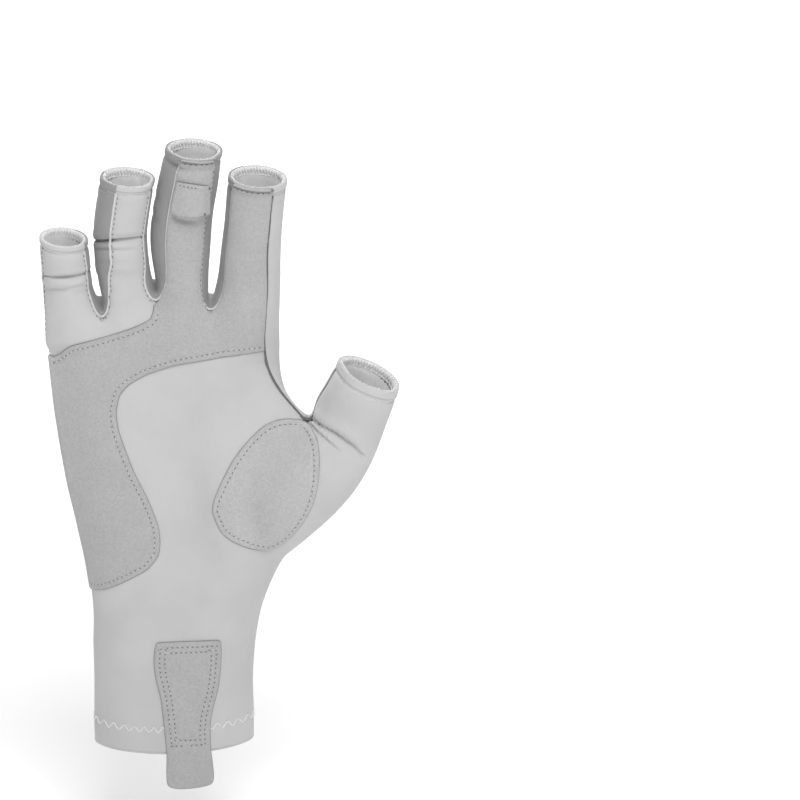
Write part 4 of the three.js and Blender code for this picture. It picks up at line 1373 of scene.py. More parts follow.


# Stitches: radius of the thread and of the needle hole, length of the thread and half that of the
# hole. The dark needle holes paint the shade in the holes. The rows beside the seams show only
# their needle holes, as dashes.
Stitch = namedtuple("Stitch", "thread hole length dash")
PATCH_STITCH = Stitch(0.34, 0.24, 1.5, 0.3)
BAND_STITCH = Stitch(0.2, 0.26, 1.0, 0.3)
TAB_STITCH = Stitch(0.26, 0.28, 1.3, 0.3)
PIPING_DASH = Stitch(0, 0.21, 0, 0.45)
CLOSING_DASH = Stitch(0, 0.24, 0, 0.7)
BACK_DASH = Stitch(0, 0.22, 0, 0.3)

# Shape of a stitch's thread: place along it and share of its radius.
PUFF_PROFILE = ((-0.5, 0.25), (-0.3, 0.85), (0, 1.0), (0.3, 0.85), (0.5, 0.25))
PUFF_RISE = 0.05
PUFF_DIP = 0.3
HOLE_LIFT = 0.02
HOLE_END = 0.6
RIM_ROW_RING = 5
ROW_START = 0.8
RIM_ROW_START = 0.6
RUN_GAP = 6
SHORTEST_LOOP = 20
SHORTEST_RUN = 4
SEAM_CLEARANCE = 1.2
COVER_HEIGHT = 4
COVER_DEPTH = 6


class Cover:
    """The outermost surface: suede where it lies, otherwise the cloth of the form."""

    def __init__(self, form, *patches):
        self.form = form
        self.patches = patches

    def find_nearest(self, place):
        """The outermost point over a place, with its normal, face and distance."""
        hit, normal, index, gap = self.form.tree.find_nearest(place)
        for suede in self.patches:
            top = suede.surface.ray_cast(hit + normal * COVER_HEIGHT, -normal, COVER_DEPTH)
            if top[0] is not None:
                return top
        return hit, normal, index, gap


class StitchRows:
    """Collects the light threads of sewn rows and their dark needle holes of painted shade."""

    def __init__(self):
        self.threads = []
        self.holes = []

    def sew(self, spots, surface, stitch):
        """Adds a stitch at each spot, laid on the surface, with a needle hole before it."""
        for place, direction in spots:
            hit, normal, _, _ = surface.find_nearest(place)
            along = (direction - normal * direction.dot(normal)).normalized()
            if stitch.thread:
                self.threads.append([])
                for share, width in PUFF_PROFILE:
                    rise = PUFF_RISE - PUFF_DIP * (1 - width)
                    spot = hit + along * share * stitch.length + normal * rise
                    self.threads[-1].append((spot, stitch.thread * width))
            hole = hit + along * size("stitch_pitch") / 2 + normal * HOLE_LIFT
            first, last = ((hole + along * stitch.dash * side, stitch.hole * HOLE_END)
                           for side in (-1, 1))
            self.holes.append([first, (hole, stitch.hole), last])

    def finish(self, name, slot="suede"):
        """Turns what was sewn into pieces."""
        sewn = (("thread", self.threads, "thread"), ("needle_holes", self.holes, "needle_hole"))
        return [add_strands(f"{name}_{kind}", strands, finish(look))
                for kind, strands, look in sewn if strands]


def sew_patch_rows(rows, suede, seam_tree):
    """Sews the row inside a patch's edge and leaves it out where the edge lies in a seam."""
    for loop in suede.loops:
        if len(loop) < SHORTEST_LOOP:
            continue
        runs = [[]]
        for point in suede.row(loop, ROW_INSET):
            in_seam = seam_tree and seam_tree.find(point)[2] < ROW_INSET + SEAM_CLEARANCE
            if in_seam or runs[-1] and (point - runs[-1][-1]).length > RUN_GAP:
                runs.append([])
            if not in_seam:
                runs[-1].append(point)
        for run in runs:
            if len(run) >= SHORTEST_RUN:
                spots = resample(smoothed(run, 3), size("stitch_pitch"), ROW_START)
                rows.sew(spots, suede.surface, PATCH_STITCH)


def sew_rim_row(rows, suede, part):
    """Sews the row under a fingertip's rim where the suede covers it."""
    form = glove_form()
    zone = form.bm.faces.layers.int["zone"]
    ring = rings_below(form, part, RIM_ROW_RING)[-1]
    front = ZONES.index("front")
    run = places_of(vert for vert in ring if all(face[zone] == front for face in vert.link_faces))
    run.sort(key=lambda place: place.x)
    run = [suede.surface.ray_cast(place + PALMWARD * COVER_DEPTH, -PALMWARD)[0] for place in run]
    spots = resample([place for place in run if place], size("stitch_pitch"), RIM_ROW_START)
    rows.sew(spots, suede.surface, PATCH_STITCH)


def is_hem_seam(line):
    """Whether a seam is that of a fingertip's hem."""
    return any(name.endswith("_hem") for name in line.panels)


@lru_cache(maxsize=1)
def hem_tree():
    """Distances from the seams of the fingertips' hems."""
    hems = [line for line in seam_lines() if is_hem_seam(line)]
    return distance_tree([point for line in hems for point in line.points])


@lru_cache(maxsize=1)
def seam_tree():
    """All seam points of the form, for distances."""
    form = glove_form()
    return distance_tree([form.bm.verts[int(k)].co for k in form.seam_vertices()])


SeamLine = namedtuple("SeamLine", "panels points")


@lru_cache(maxsize=1)
def seam_lines():
    """Each seam as the names of the two panels and its points in order."""
    form = glove_form()
    groups = {}
    panel = form.bm.faces.layers.int["panel"]
    zone = form.bm.faces.layers.int["zone"]
    for edge in form.bm.edges:
        names = {PANELS[face[panel]].replace("cuff_hem", "main_panel") for face in edge.link_faces}
        is_closing = {face[zone] for face in edge.link_faces} == CLOSING_SEAM
        if len(names) == 2 or is_closing:
            groups.setdefault((min(names), max(names)), []).append(edge)
    return [SeamLine(names, places_of(run))
            for names, edges in sorted(groups.items()) for run in chain_edges(edges)]


def beside_seam(form, points, offset, is_wanted):
    """A line on the form beside a seam, on the side where a test of the face holds."""
    ahead = [*points[1:], points[-1]]
    behind = [points[0], *points[:-1]]
    test = lambda spot, index: is_wanted(form.bm.faces[index])
    return beside(form.tree, points, ahead, behind, offset, test)


class Term:
    """A node's output that Python's arithmetic signs can combine into Math nodes."""

    def __init__(self, look, socket):
        self.look = look
        self.socket = socket

    def math(self, operation, first, second=0.0):
        return self.look.node("ShaderNodeMath", {"operation": operation}, {0: first, 1: second})

    def __add__(self, other):
        return self.math("ADD", self, other)

    def __sub__(self, other):
        return self.math("SUBTRACT", self, other)

    def __rsub__(self, other):
        return self.math("SUBTRACT", other, self)

    def __mul__(self, other):
        return self.math("MULTIPLY", self, other)

    def __truediv__(self, other):
        return self.math("DIVIDE", self, other)

    def __pow__(self, other):
        return self.math("POWER", self, other)

    __radd__ = __add__
    __rmul__ = __mul__


SHEEN_ROUGHNESS = 0.45
SPECULAR = 0.2


class Look:
    """A material under construction."""

    def __init__(self, name, roughness, sheen=0.0):
        self.material = bpy.data.materials.new(name)
        self.material.use_nodes = True
        self.tree = self.material.node_tree
        self.shader = self.tree.nodes["Principled BSDF"]
        inputs = {"Roughness": roughness, "Sheen Weight": sheen,
                  "Sheen Roughness": SHEEN_ROUGHNESS, "Specular IOR Level": SPECULAR}
        for key, value in inputs.items():
            self.shader.inputs[key].default_value = value

    def node(self, kind, settings=None, values=None, output=0):
        """A node of that kind: its settings are set first, then the values or links of sockets."""
        made = self.tree.nodes.new(kind)
        for key, value in (settings or {}).items():
            setattr(made, key, value)
        for key, value in (values or {}).items():
            if isinstance(value, Term):
                self.tree.links.new(value.socket, made.inputs[key])
            else:
                made.inputs[key].default_value = value
        return Term(self, made.outputs[output])

    def feed(self, socket, term):
        """Links a term to a socket of the shader."""
        self.tree.links.new(term.socket, self.shader.inputs[socket])

    def place(self):
        """The object's own coordinates, in metres."""
        return self.node("ShaderNodeTexCoord", output="Object")

    def noise(self, place, size, detail=2.0, roughness=0.5):
        """Cloudy noise with patches of about that size in millimetres, from 0 to 1."""
        scale = 1 / (size * MM)
        values = {"Vector": place, "Scale": scale, "Detail": detail, "Roughness": roughness}
        return self.node("ShaderNodeTexNoise", None, values, "Fac")

    def mix(self, factor, first, second):
        """A colour between two colours."""
        values = {0: factor, 6: first, 7: second}
        return self.node("ShaderNodeMix", {"data_type": "RGBA"}, values, 2)

    def ease(self, term, low, high):
        """A term spread so that low becomes 0 and high becomes 1."""
        values = {"Value": term, "From Min": low, "From Max": high}
        return self.node("ShaderNodeMapRange", {"interpolation_type": "SMOOTHSTEP"}, values)

    def bump(self, height, strength, distance, normal=None):
        """A bump from a height from 0 to 1, distance in millimetres."""
        values = {"Height": height, "Strength": strength, "Distance": distance * MM}
        if normal is not None:
            values["Normal"] = normal
        return self.node("ShaderNodeBump", None, values)


def shades(colour, factors):
    """A colour made darker and lighter."""
    return [(*(min(1, channel * factor) for channel in colour), 1.0) for factor in factors]


# Pitch of the knit's loops and sizes of the patches in the materials in millimetres, and the two
# shares of the colour between which each material varies.
WALE_PITCH = 0.62
COURSE_PITCH = 0.5
KNIT_CLOUD = 22
KNIT_GRAIN = 0.9
KNIT_TONES = (0.93, 1.05)
SUEDE_CLOUD = 14
SUEDE_SPECK = 0.5
SUEDE_FIBRE = 1.2
SUEDE_TONES = (0.8, 1.12)
THREAD_TWIST = 0.35
THREAD_TONES = (0.86, 1.08)


def knit_look(name, colour, depth):
    """Fine stretch jersey: rows of small loops that follow the cloth, soft cloudy shading."""
    look = Look(name, roughness=0.82, sheen=0.25)
    place = look.place()
    cloth = look.node("ShaderNodeUVMap", {"uv_map": "cloth"})
    u = look.node("ShaderNodeSeparateXYZ", None, {0: cloth}, "X") / (WALE_PITCH * MM)
    v = look.node("ShaderNodeSeparateXYZ", None, {0: cloth}, "Y") / (COURSE_PITCH * MM)
    across = look.node("ShaderNodeMath", {"operation": "PINGPONG"}, {0: u, 1: 0.5}) * 2
    loops = (v + across * 0.5) * (2 * math.pi)
    course = look.node("ShaderNodeMath", {"operation": "SINE"}, {0: loops}) * 0.5 + 0.5
    wale = 1 - (1 - across) ** 2.0
    height = wale * (course * 0.45 + 0.55)
    cloud = look.noise(place, KNIT_CLOUD, 3)
    grain = look.noise(place, KNIT_GRAIN, 3, 0.65)
    tone = look.ease(cloud, 0.3, 0.7) * 0.55 + grain * 0.3 + height * 0.15
    look.feed("Base Color", look.mix(tone, *shades(colour, KNIT_TONES)))
    fuzz = look.bump(grain, strength=0.35, distance=0.12 * depth)
    look.feed("Normal", look.bump(height, strength=0.55, distance=0.07 * depth, normal=fuzz))
    look.feed("Roughness", look.ease(cloud, 0.2, 0.8) * 0.1 + 0.76)
    return look.material


def suede_look(name, colour):
    """Suede: a short nap with speckled grain, brushed lighter and darker clouds."""
    look = Look(name, roughness=0.95, sheen=0.35)
    place = look.place()
    cloud = look.noise(place, SUEDE_CLOUD, 4, 0.6)
    speck = look.noise(place, SUEDE_SPECK, 4, 0.7)
    fibre = look.noise(place, SUEDE_FIBRE, 3, 0.65)
    tone = look.ease(speck, 0.34, 0.68) * 0.55 + look.ease(fibre, 0.3, 0.7) * 0.3
    tone = tone + look.ease(cloud, 0.3, 0.7) * 0.15
    look.feed("Base Color", look.mix(tone, *shades(colour, SUEDE_TONES)))
    nap = look.bump(speck, strength=0.6, distance=0.22)
    look.feed("Normal", look.bump(fibre, strength=0.4, distance=0.3, normal=nap))
    look.feed("Roughness", look.ease(speck, 0.2, 0.8) * 0.08 + 0.88)
    return look.material


def thread_look(name, colour):
    """Matt sewing thread with a fine twist."""
    look = Look(name, roughness=0.8, sheen=0.2)
    twist = look.noise(look.place(), THREAD_TWIST, 2)
    tone = look.ease(twist, 0.3, 0.7)
    look.feed("Base Color", look.mix(tone, *shades(colour, THREAD_TONES)))
    look.feed("Normal", look.bump(twist, strength=0.4, distance=0.05))
    return look.material


def size(name):
    """A size of the sidebar in millimetres."""
    return getattr(bpy.context.scene.glove_finish, name) / MM


# How each material is made, its colour in the sidebar and the depth of its knit.
LOOKS = {
    "knit": (knit_look, "knit", 1.0),
    "side_knit": (knit_look, "side_knit", 1.0),
    "hem_knit": (knit_look, "hem", 1.6),
    "lining_knit": (knit_look, "lining", 1.0),
    "suede": (suede_look, "suede"),
    "ball_suede": (suede_look, "ball_suede"),
    "thread": (thread_look, "thread"),
    # The dark marks of painted shade use the thread's material in a near black.
    "seam_thread": (thread_look, "needle_hole"),
    "needle_hole": (thread_look, "needle_hole"),
    "piping": (thread_look, "piping"),
    "overlock": (thread_look, "overlock"),
    "edge_line": (thread_look, "edge_line"),
    "hem_line": (thread_look, "hem_line"),
}


@lru_cache(maxsize=None)
def finish(name):
    """The material of that name, made once."""
    maker, colour, *depth = LOOKS[name]
    return maker(name, getattr(bpy.context.scene.glove_finish, colour), *depth)


def grey(name, covers, tone):
    """A colour of the sidebar, a plain grey at first."""
    return FloatVectorProperty(name=name, description=f"Colour of {covers}", subtype="COLOR",
                               default=(tone, tone, tone), min=0, max=1)


def span(name, description, start, low, high, precision=4):
    """A length of the sidebar in metres."""
    return FloatProperty(name=name, description=description, subtype="DISTANCE", unit="LENGTH",
                         default=start, min=low, max=high, precision=precision)


class GloveFinish(PropertyGroup):
    """Colours of the cloth, the suede and the threads, and the sizes of the sewing."""

    knit: grey("Knit", "the knit panels", 0.575)
    # Darker than the knit, to paint the shade that falls on the strips between the fingers.
    side_knit: grey("Side knit", "the strips between the fingers", 0.33)
    hem: grey("Hem", "the hems", 0.6)
    suede: grey("Suede", "the suede patches", 0.475)
    # Lighter than the palm's suede of the same kind, to paint the stronger light on the ball of the
    # thumb.
    ball_suede: grey("Ball suede", "the suede on the ball of the thumb", 0.53)
    thread: grey("Thread", "the sewing thread on the suede", 0.57)
    # A near black that paints the shade in needle holes and in sunk seams.
    needle_hole: grey("Needle hole", "needle holes and of sunk seams", 0.17)
    # Far lighter than the knit it is made of, to paint light into the fingertip openings, where
    # shade falls.
    lining: grey("Lining", "the turned-in cloth at the fingertips", 0.93)
    piping: grey("Piping", "the pipings along the seams", 0.7)
    overlock: grey("Overlock", "the overlock and zigzag threads", 0.82)
    # A dark grey that paints the shadow at the foot of the suede's edges.
    edge_line: grey("Edge line", "the shaded foot of the suede's edges", 0.25)
    # A grey that paints the shadow under the fingertip hems.
    hem_line: grey("Hem line", "the line under the fingertip hems", 0.4)
    knit_wall: span("Knit thickness", "Thickness of the knit panels", 0.0011, 0.0005, 0.002)
    suede_wall: span("Suede thickness", "Thickness of the suede pieces", 0.0008, 0.0004, 0.0015)
    stitch_pitch: span(
        "Stitch pitch", "Distance between the stitches on the suede", 0.0021, 0.0012, 0.005)
    dash_pitch: span(
        "Seam stitch pitch", "Distance between the stitches beside the seams",
        0.0022, 0.0012, 0.005)
    piping_radius: span(
        "Piping radius", "Radius of the pipings of the side strips", 0.0005, 0.0002, 0.001)
    overlock_pitch: span(
        "Overlock pitch", "Distance between the overlock threads of the fingertips",
        0.00074, 0.0005, 0.002, 5)


class GLOVE_OT_knit_panels(Operator):
    """Adds the knit panels with their folds and sunk seams"""

    bl_idname = "glove.knit_panels"
    bl_label = "Knit panels"

    def execute(self, context):
        form = glove_form()
        build_panel(form, "main_panel", finish("knit"))
        build_panel(form, "thumb_gusset", finish("knit"))
        for panel in PANELS:
            # The side strips get the darker knit, which paints the shade between the fingers.
            if panel.startswith("fourchette"):
                build_panel(form, panel, finish("side_knit"))
        return {"FINISHED"}


class GLOVE_OT_hems(Operator):
    """Adds the turned-in hems of the fingertips and the wrist"""

    bl_idname = "glove.hems"
    bl_label = "Hems"

    def execute(self, context):
        form = glove_form()
        looks = [finish(name) for name in ("hem_knit", "lining_knit", "side_knit", "suede")]
        for part in PARTS[1:]:
            build_tip_hem(form, part, looks)
        build_cuff_hem(form, finish("hem_knit"))
        return {"FINISHED"}


def suede_zone(form, parts_with_front):
    """Which faces of the form a suede patch may cover."""
    zone, panel, part = form.labels["zone"], form.labels["panel"], form.labels["part"]
    allowed = np.isin(zone, [ZONES.index("palm"), ZONES.index("seam_front")])
    allowed &= part == PARTS.index("hand")
    for name in parts_with_front:
        allowed |= (part == PARTS.index(name)) & (zone == ZONES.index("front"))
    blocked = np.isin(panel, [PANELS.index("thumb_gusset"), PANELS.index("cuff_hem")])
    return allowed & ~blocked


def build_suede(suede, rows, name, node, look="suede"):
    """Finishes a suede piece with what is sewn on it."""
    sewn = rows.finish(name)
    # A dark strand along the foot of each edge paints its shadow.
    edge_shadow_look = finish("edge_line")
    sewn.append(add_strands(f"{name}_edge_line", suede.edge_shadow_strands(), edge_shadow_look))
    return finish_piece(suede.bm.copy(), f"{name}_suede", finish(look), (node,))


@lru_cache(maxsize=1)
def palm_suede():
    """The suede of the palm and of the fronts of the middle and index finger."""
    form = glove_form()
    sheet = patch_sheet(form, suede_zone(form, SUEDE_FRONTS), patch_height)
    suede = Suede(sheet, PALM_PATCH_EDGE, EDGE_TENSION["palm"])
    suede.shape_edge(seam_tree())
    return suede


@lru_cache(maxsize=1)
def ball_suede():
    """The suede oval on the ball of the thumb."""
    form = glove_form()
    wanted = near_outline(form, suede_zone(form, ("thumb",)), BALL_PATCH_EDGE)
    sheet = patch_sheet(form, wanted, patch_height)
    suede = Suede(sheet, BALL_PATCH_EDGE, EDGE_TENSION["ball"])
    suede.shape_edge(None)
    return suede


class GLOVE_OT_suede_patches(Operator):
    """Adds the suede of the palm, the fingers and the ball of the thumb with its sewn rows"""

    bl_idname = "glove.suede_patches"
    bl_label = "Suede patches"

    def execute(self, context):
        rows = StitchRows()
        sew_patch_rows(rows, palm_suede(), seam_tree())
        for part in SUEDE_FRONTS:
            sew_rim_row(rows, palm_suede(), part)
        build_suede(palm_suede(), rows, "palm_patch", "palm_patch")
        rows = StitchRows()
        sew_patch_rows(rows, ball_suede(), None)
        # The ball patch gets the lighter suede, which paints the light on the ball of the thumb.
        build_suede(ball_suede(), rows, "ball_patch", "thumb_ball_patch", "ball_suede")
        return {"FINISHED"}


# The row along the pull band's upper edge as x and z, the knots at the ends of its right side, and
# the rows of the pull tab as inset from its edge and height of the row across its lower part.
BAND_ROW = ((5.5, 233.0), (10.8, 231.9), (17.6, 231.0))
BAND_ROW_START = 0.4
BAND_KNOTS = ((17.9, 231.0), (16.0, 220.8))
KNOT_HALF = 0.35
KNOT_RADIUS = 0.55
TAB_ROWS = ((2.2, 3.0), (4.3, 5.4))
TAB_ROW_START = 0.3
BAND_PITCH = 1.5
TAB_PITCH = 2.0


class GLOVE_OT_pulls(Operator):
    """Adds the pull band of the middle finger and the pull tab of the wrist"""

    bl_idname = "glove.pulls"
    bl_label = "Pull band and tab"

    def execute(self, context):
        form = glove_form()
        zone, part = form.labels["zone"], form.labels["part"]
        wanted = (zone == ZONES.index("front")) & (part == PARTS.index("middle"))
        wanted &= np.all(form.seam_distance[form.corners] > LOOP_MARGIN, axis=1)
        band = Suede(patch_sheet(form, wanted, loop_height), LOOP_EDGE, EDGE_TENSION["loop"])
        band.shape_edge(None)
        rows = StitchRows()
        path = [on_front(band.surface, x, z)[0] for x, z in BAND_ROW]
        rows.sew(resample(path, BAND_PITCH, BAND_ROW_START), band.surface, BAND_STITCH)
        for x, z in BAND_KNOTS:
            place, _ = on_front(band.surface, x, z)
            ends = (Vector((-KNOT_HALF, 0, 0)), Vector((KNOT_HALF, 0, 0)))
            rows.holes.append([(place + end, KNOT_RADIUS) for end in ends])
        build_suede(band, rows, "finger_loop", "finger_loop")
        tab = Suede(tab_sheet(form), PULL_TAB_EDGE, EDGE_TENSION["tab"], TAB_WALL)
        tab.shape_edge(None)
        rows = StitchRows()
        loop = max(tab.loops, key=len)
        for inset, bottom in TAB_ROWS:
            around = tab.row(loop, inset)
            start = max((k for k, place in enumerate(around) if place.z < bottom), default=-1) + 1
            around = [place for place in around[start:] + around[:start] if place.z >= bottom]
            spots = resample(around, TAB_PITCH, TAB_ROW_START, closed=True)
            rows.sew(spots, tab.surface, TAB_STITCH)
        build_suede(tab, rows, "pull_tab", "pull_tab")
        return {"FINISHED"}


# Seams: rise and radius of the strands laid in them, distances of the sewn rows beside them, the
# height above which the closing seam shows its row and the mean y of a seam of the back.
PIPING_RISE = -0.02
CLOSING_PIPING = (-0.1, 0.4)
BACK_PIPING = (0.0, 0.62)
# The dark strand laid in a sunk seam of the palm side paints the groove's shade.
GROOVE = (-0.4, 0.8)
DASHES_BESIDE = 1.1
BACK_DASHES_BESIDE = (1.5, 3.4)
CLOSING_DASH_Z = 66
BACK_SEAM_Y = -2

# Fingers whose palm side carries no stitches beside the piping of a side strip.
UNSTITCHED = {
    "fourchette_middle_ring": PARTS.index("middle"),
    "fourchette_index_middle": PARTS.index("index"),
}


def is_back(line):
    """Whether a seam runs over the back of the hand."""
    return mean(line.points).y > BACK_SEAM_Y


class GLOVE_OT_seams(Operator):
    """Adds the pipings along the seams and dark stitch dashes and groove strands of painted shade
    """

    bl_idname = "glove.seams"
    bl_label = "Seams"

    def execute(self, context):
        form = glove_form()
        cover = Cover(form, palm_suede())
        pipings, dark = [], []
        rows = StitchRows()
        panel = form.bm.faces.layers.int["panel"]
        zone = form.bm.faces.layers.int["zone"]
        part = form.bm.faces.layers.int["part"]
        main, gusset = PANELS.index("main_panel"), PANELS.index("thumb_gusset")
        front_zone = ZONES.index("seam_front")
        for line in seam_lines():
            if is_hem_seam(line):
                continue
            points = smoothed(line.points, 2)
            if any(name.startswith("fourchette") for name in line.panels):
                pipings.append(self.laid(form, points, PIPING_RISE, size("piping_radius")))
                bare = UNSTITCHED.get(line.panels[0])
                wanted = lambda face, bare=bare: face[panel] == main and not (
                    face[part] == bare and face.normal.y < 0)
                row = beside_seam(form, points, DASHES_BESIDE, wanted)
                self.dashes(rows, row, cover, PIPING_DASH)
            elif line.panels[0] == line.panels[1]:
                pipings.append(self.laid(form, points, *CLOSING_PIPING))
                sewn = [point for point in points if point.z > CLOSING_DASH_Z]
                row = beside_seam(form, sewn, DASHES_BESIDE, lambda face: face[zone] == front_zone)
                self.dashes(rows, row, form.tree, CLOSING_DASH)
            elif is_back(line):
                pipings.append(self.laid(form, points, *BACK_PIPING))
                for offset in BACK_DASHES_BESIDE:
                    row = beside_seam(form, points, offset, lambda face: face[panel] == gusset)
                    self.dashes(rows, row, form.tree, BACK_DASH)
            else:
                # A dark strand in the groove paints its shade.
                dark.append(self.laid(form, points, *GROOVE))
        add_strands("seam_piping", pipings, finish("piping"), 8)
        add_strands("sunk_seams", dark, finish("seam_thread"), 8)
        rows.finish("seams", "knit")
        return {"FINISHED"}

    def laid(self, form, points, rise, radius):
        """A strand along points, raised from the form."""
        return [(point + form.tree.find_nearest(point)[1] * rise, radius) for point in points]

    def dashes(self, rows, points, surface, dash):
        """Dark dashes along points on a surface, the painted shade of needle holes."""
        if len(points) >= SHORTEST_RUN:
            rows.sew(resample(points, size("dash_pitch"), ROW_START), surface, dash)


# Overlock threads over a fingertip's turned-in edge: rise over the rim, reach inwards, shift along
# the rim and thread radius at each place.
Wrap = namedtuple("Wrap", "rise reach shift radius")
OVERLOCK = table(
    Wrap,
    (0.06, 0.74, 0.0, 0.12), (0.2, 0.98, 0.15, 0.26), (0.0, 1.34, 0.35, 0.32),
    (-0.7, 1.56, 0.55, 0.32), (-1.6, 1.66, 0.8, 0.32), (-2.6, 1.62, 1.0, 0.3),
    (-3.2, 1.5, 1.15, 0.2),
)
OVERLOCK_UNEVEN = 0.14
UNEVEN_SCALE = 1.7
CHAIN = Wrap(-3.0, 1.62, 0.5, 0.27)
HEM_DASH = Wrap(-3.7, 1.46, 0.9, 0.2)
# The grey line along the hem band's foot paints the shadow under the band.
HEM_SHADE_RING = 6
HEM_SHADE_RADIUS = 0.17
HEM_SHADE_LIFT = 0.1


class GLOVE_OT_rims(Operator):
    """Adds the overlock threads of the fingertip hems and their dark dashes and lines of painted
    shade
    """

    bl_idname = "glove.rims"
    bl_label = "Rim threads"

    def execute(self, context):
        form = glove_form()
        for part in PARTS[1:]:
            rings = rings_below(form, part, HEM_SHADE_RING)
            rim = places_of(rings[0])
            axis, centre = ring_axis(rings[0], tip_direction(part)), mean(rim)
            light, dark, chain = [], [], []
            for k, (place, along) in enumerate(resample(rim, size("overlock_pitch"), closed=True)):
                side = along if k % 2 else -along
                uneven = noise.noise(place * UNEVEN_SCALE) * OVERLOCK_UNEVEN
                light.append([self.wrapped(place, axis, centre, wrap, uneven, side * wrap.shift)
                              for wrap in OVERLOCK])
            for k, (place, _) in enumerate(resample(rim, CHAIN.shift, closed=True)):
                uneven = OVERLOCK_UNEVEN if k % 2 else -OVERLOCK_UNEVEN
                chain.append(self.wrapped(place, axis, centre, CHAIN, uneven))
            chain.append(chain[0])
            # Dark dashes inside the rim paint the shade of the hem's needle holes.
            for place, along in resample(rim, size("dash_pitch"), closed=True):
                dark.append([self.wrapped(place, axis, centre, HEM_DASH, 0, shift)
                             for shift in (Vector(), along * HEM_DASH.shift)])
            lines = self.hem_lines(form, rings[-1], part)
            add_strands(f"{part}_overlock", [*light, chain], finish("overlock"))
            add_strands(f"{part}_hem_stitches", dark, finish("seam_thread"))
            add_strands(f"{part}_hem_line", lines, finish("hem_line"))
        return {"FINISHED"}

    def hem_lines(self, form, ring, part):
        """The line of painted shadow under the hem, left out over the side strips and over suede.
        """
        zone = form.bm.faces.layers.int["zone"]
        bare = {ZONES.index("side")} | ({ZONES.index("front")} if part in SUEDE_FRONTS else set())
        start = next((k for k, vert in enumerate(ring)
                      if any(face[zone] in bare for face in vert.link_faces)), 0)
        lines = [[]]
        for vert in [*ring[start:], *ring[:start + 1]]:
            if all(face[zone] in bare for face in vert.link_faces):
                lines.append([])
            else:
                lines[-1].append((vert.co + vert.normal * HEM_SHADE_LIFT, HEM_SHADE_RADIUS))
        return [line for line in lines if len(line) > 2]

    def wrapped(self, place, axis, centre, wrap, uneven, shift=Vector()):
        """A place over the rim with the thread's radius."""
        away = place - centre
        away = (away - axis * away.dot(axis)).normalized()
        spot = place + axis * (wrap.rise + uneven) - away * (wrap.reach + uneven) + shift
        return spot, wrap.radius * (1 + uneven)


# The zigzag thread of the wrist and its dark needle holes, which paint the holes' shade.
ZIGZAG_Z = 10.0
ZIGZAG_RISE = 1.4
ZIGZAG_WAVES = 37
ZIGZAG_STEPS = 4
ZIGZAG_RADIUS = 0.27
ZIGZAG_LIFT = 0.08
WRIST_HOLE_LIFT = 0.1
WRIST_HOLE_LENGTH = 0.25
WRIST_HOLE_RADIUS = 0.14


class GLOVE_OT_wrist_thread(Operator):
    """Adds the zigzag thread round the wrist"""

    bl_idname = "glove.wrist_thread"
    bl_label = "Wrist thread"

    def execute(self, context):
        form = glove_form()
        strand, holes = [], []
        count = ZIGZAG_WAVES * 2 * ZIGZAG_STEPS
        for k in range(count + 1):
            turn = 2 * math.pi * (k % count) / count
            swing = 1 - 2 * abs(k / ZIGZAG_STEPS % 2 - 1)
            out = Vector((math.cos(turn), math.sin(turn), 0))
            start = out * OUTSIDE + UP * (ZIGZAG_Z + ZIGZAG_RISE * swing)
            place, normal, _, _ = form.tree.ray_cast(start, -out)
            strand.append((place + normal * ZIGZAG_LIFT, ZIGZAG_RADIUS))
            if abs(swing) == 1:
                hole = place + normal * WRIST_HOLE_LIFT
                ends = (hole, hole + UP * WRIST_HOLE_LENGTH * swing)
                holes.append([(end, WRIST_HOLE_RADIUS) for end in ends])
        add_strands("wrist_zigzag_thread", [strand], finish("overlock"))
        add_strands("wrist_needle_holes", holes, finish("needle_hole"))
        return {"FINISHED"}


CAMERA_PLACE = Vector((18.2, -1159.1, 440.9)) * MM
CAMERA_AIM = Vector((92.6, 0, 140.4)) * MM
CAMERA_LENS = 135
CAMERA_REACH = 20
Lamp = namedtuple("Lamp", "name place size power")
LIGHTS = table(
    Lamp,
    ("key", (0.25, -1.15, 1.5), 0.9, 19.6),
    ("back_key", (-0.25, 1.15, 1.5), 0.9, 19.6),
    ("overhead", (0.0, 0.0, 2.2), 2.4, 0.5),
)
LAMP_AIM = Vector((0.02, 0, 0.13))
AMBIENT = 0.27

# The floor: depth below the glove in millimetres, half its side in metres, its tone, and the glow
# that whitens it from the glove to the horizon with the distances between which it grows.
FLOOR_DROP = 30
FLOOR_REACH = 30
FLOOR_ROUGHNESS = 0.9
FLOOR_TONE = 0.9
FLOOR_GLOW = (0.15, 0.8)
FLOOR_GLOW_REACH = (0.3, 2.0)


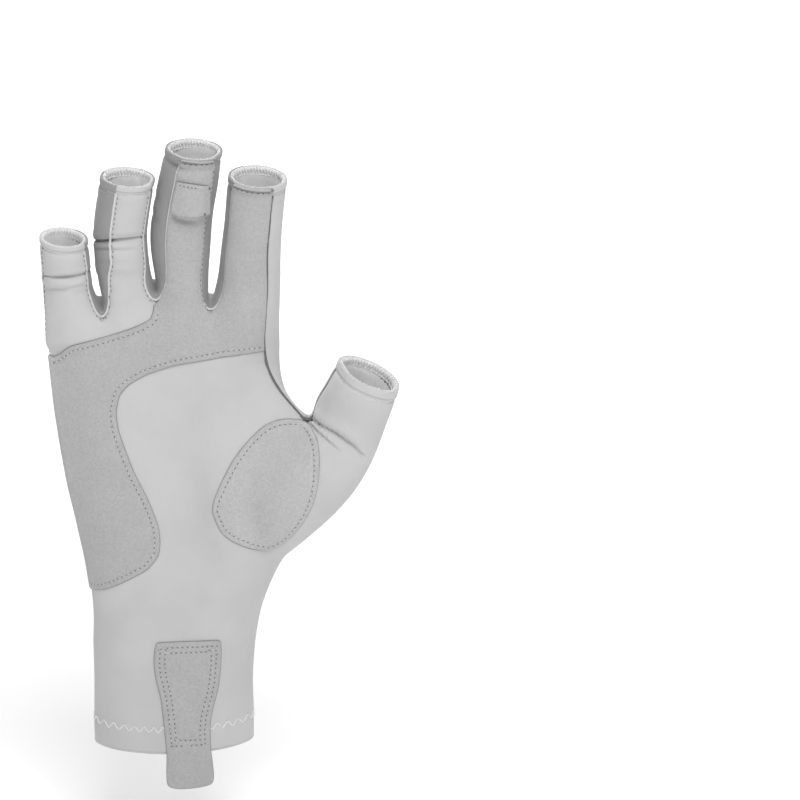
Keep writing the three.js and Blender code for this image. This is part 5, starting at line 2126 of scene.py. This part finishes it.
class GLOVE_OT_stage(Operator):
    """Adds the pale floor, soft lights and the camera"""

    bl_idname = "glove.stage"
    bl_label = "Stage"

    def execute(self, context):
        scene = context.scene
        lowest = CAD_BOX[0][2] - FLOOR_DROP * MM
        bm = bmesh.new()
        bmesh.ops.create_grid(bm, x_segments=1, y_segments=1, size=FLOOR_REACH)
        bmesh.ops.translate(bm, vec=(0, 0, lowest), verts=bm.verts)
        floor = add_object("floor", mesh_of(bm, "floor"))
        look = Look("floor", FLOOR_ROUGHNESS)
        look.shader.inputs["Base Color"].default_value = (FLOOR_TONE, FLOOR_TONE, FLOOR_TONE, 1)
        length = {"operation": "LENGTH"}
        reach = look.node("ShaderNodeVectorMath", length, {0: look.place()}, "Value")
        near, far = ((glow, glow, glow, 1) for glow in FLOOR_GLOW)
        look.feed("Emission Color", look.mix(look.ease(reach, *FLOOR_GLOW_REACH), near, far))
        look.shader.inputs["Emission Strength"].default_value = 1.0
        floor.data.materials.append(look.material)
        for name, place, size, power in LIGHTS:
            data = bpy.data.lights.new(name, "AREA")
            data.shape = "SQUARE"
            data.size = size
            data.energy = power
            self.add_aimed(name, data, Vector(place), LAMP_AIM)
        world = bpy.data.worlds.new("studio")
        world.use_nodes = True
        sky = world.node_tree.nodes["Background"].inputs
        sky["Color"].default_value = (1, 1, 1, 1)
        sky["Strength"].default_value = AMBIENT
        scene.world = world
        scene.view_settings.view_transform = "Standard"
        data = bpy.data.cameras.new("camera")
        data.lens = CAMERA_LENS
        data.clip_end = CAMERA_REACH
        scene.camera = self.add_aimed("camera", data, CAMERA_PLACE, CAMERA_AIM)
        return {"FINISHED"}

    def add_aimed(self, name, data, place, aim):
        """A lamp or camera at a place that looks at another."""
        made = add_object(name, data)
        made.location = place
        made.rotation_euler = (aim - place).to_track_quat("-Z", "Y").to_euler()
        return made


class GLOVE_PT_sidebar(Panel):
    """Lists the pieces and colours in the sidebar."""

    bl_label = "Sun Glove"
    bl_space_type = "VIEW_3D"
    bl_region_type = "UI"
    bl_category = "Sun Glove"

    def draw(self, context):
        column = self.layout.column()
        for name in GloveFinish.__annotations__:
            column.prop(context.scene.glove_finish, name)
        for operator in PIECES:
            column.operator(operator.bl_idname)


PIECES = (
    GLOVE_OT_knit_panels,
    GLOVE_OT_hems,
    GLOVE_OT_suede_patches,
    GLOVE_OT_pulls,
    GLOVE_OT_seams,
    GLOVE_OT_rims,
    GLOVE_OT_wrist_thread,
    GLOVE_OT_stage,
)
CLASSES = (GloveFinish, *PIECES, GLOVE_PT_sidebar)


def register():
    for item in CLASSES:
        bpy.utils.register_class(item)
    bpy.types.Scene.glove_finish = PointerProperty(type=GloveFinish)


def unregister():
    del bpy.types.Scene.glove_finish
    for item in reversed(CLASSES):
        bpy.utils.unregister_class(item)


def main():
    """Builds every piece in order."""
    register()
    bpy.ops.glove.knit_panels()
    bpy.ops.glove.hems()
    bpy.ops.glove.suede_patches()
    bpy.ops.glove.pulls()
    bpy.ops.glove.seams()
    bpy.ops.glove.rims()
    bpy.ops.glove.wrist_thread()
    bpy.ops.glove.stage()
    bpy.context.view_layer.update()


if __name__ == "__main__":
    main()
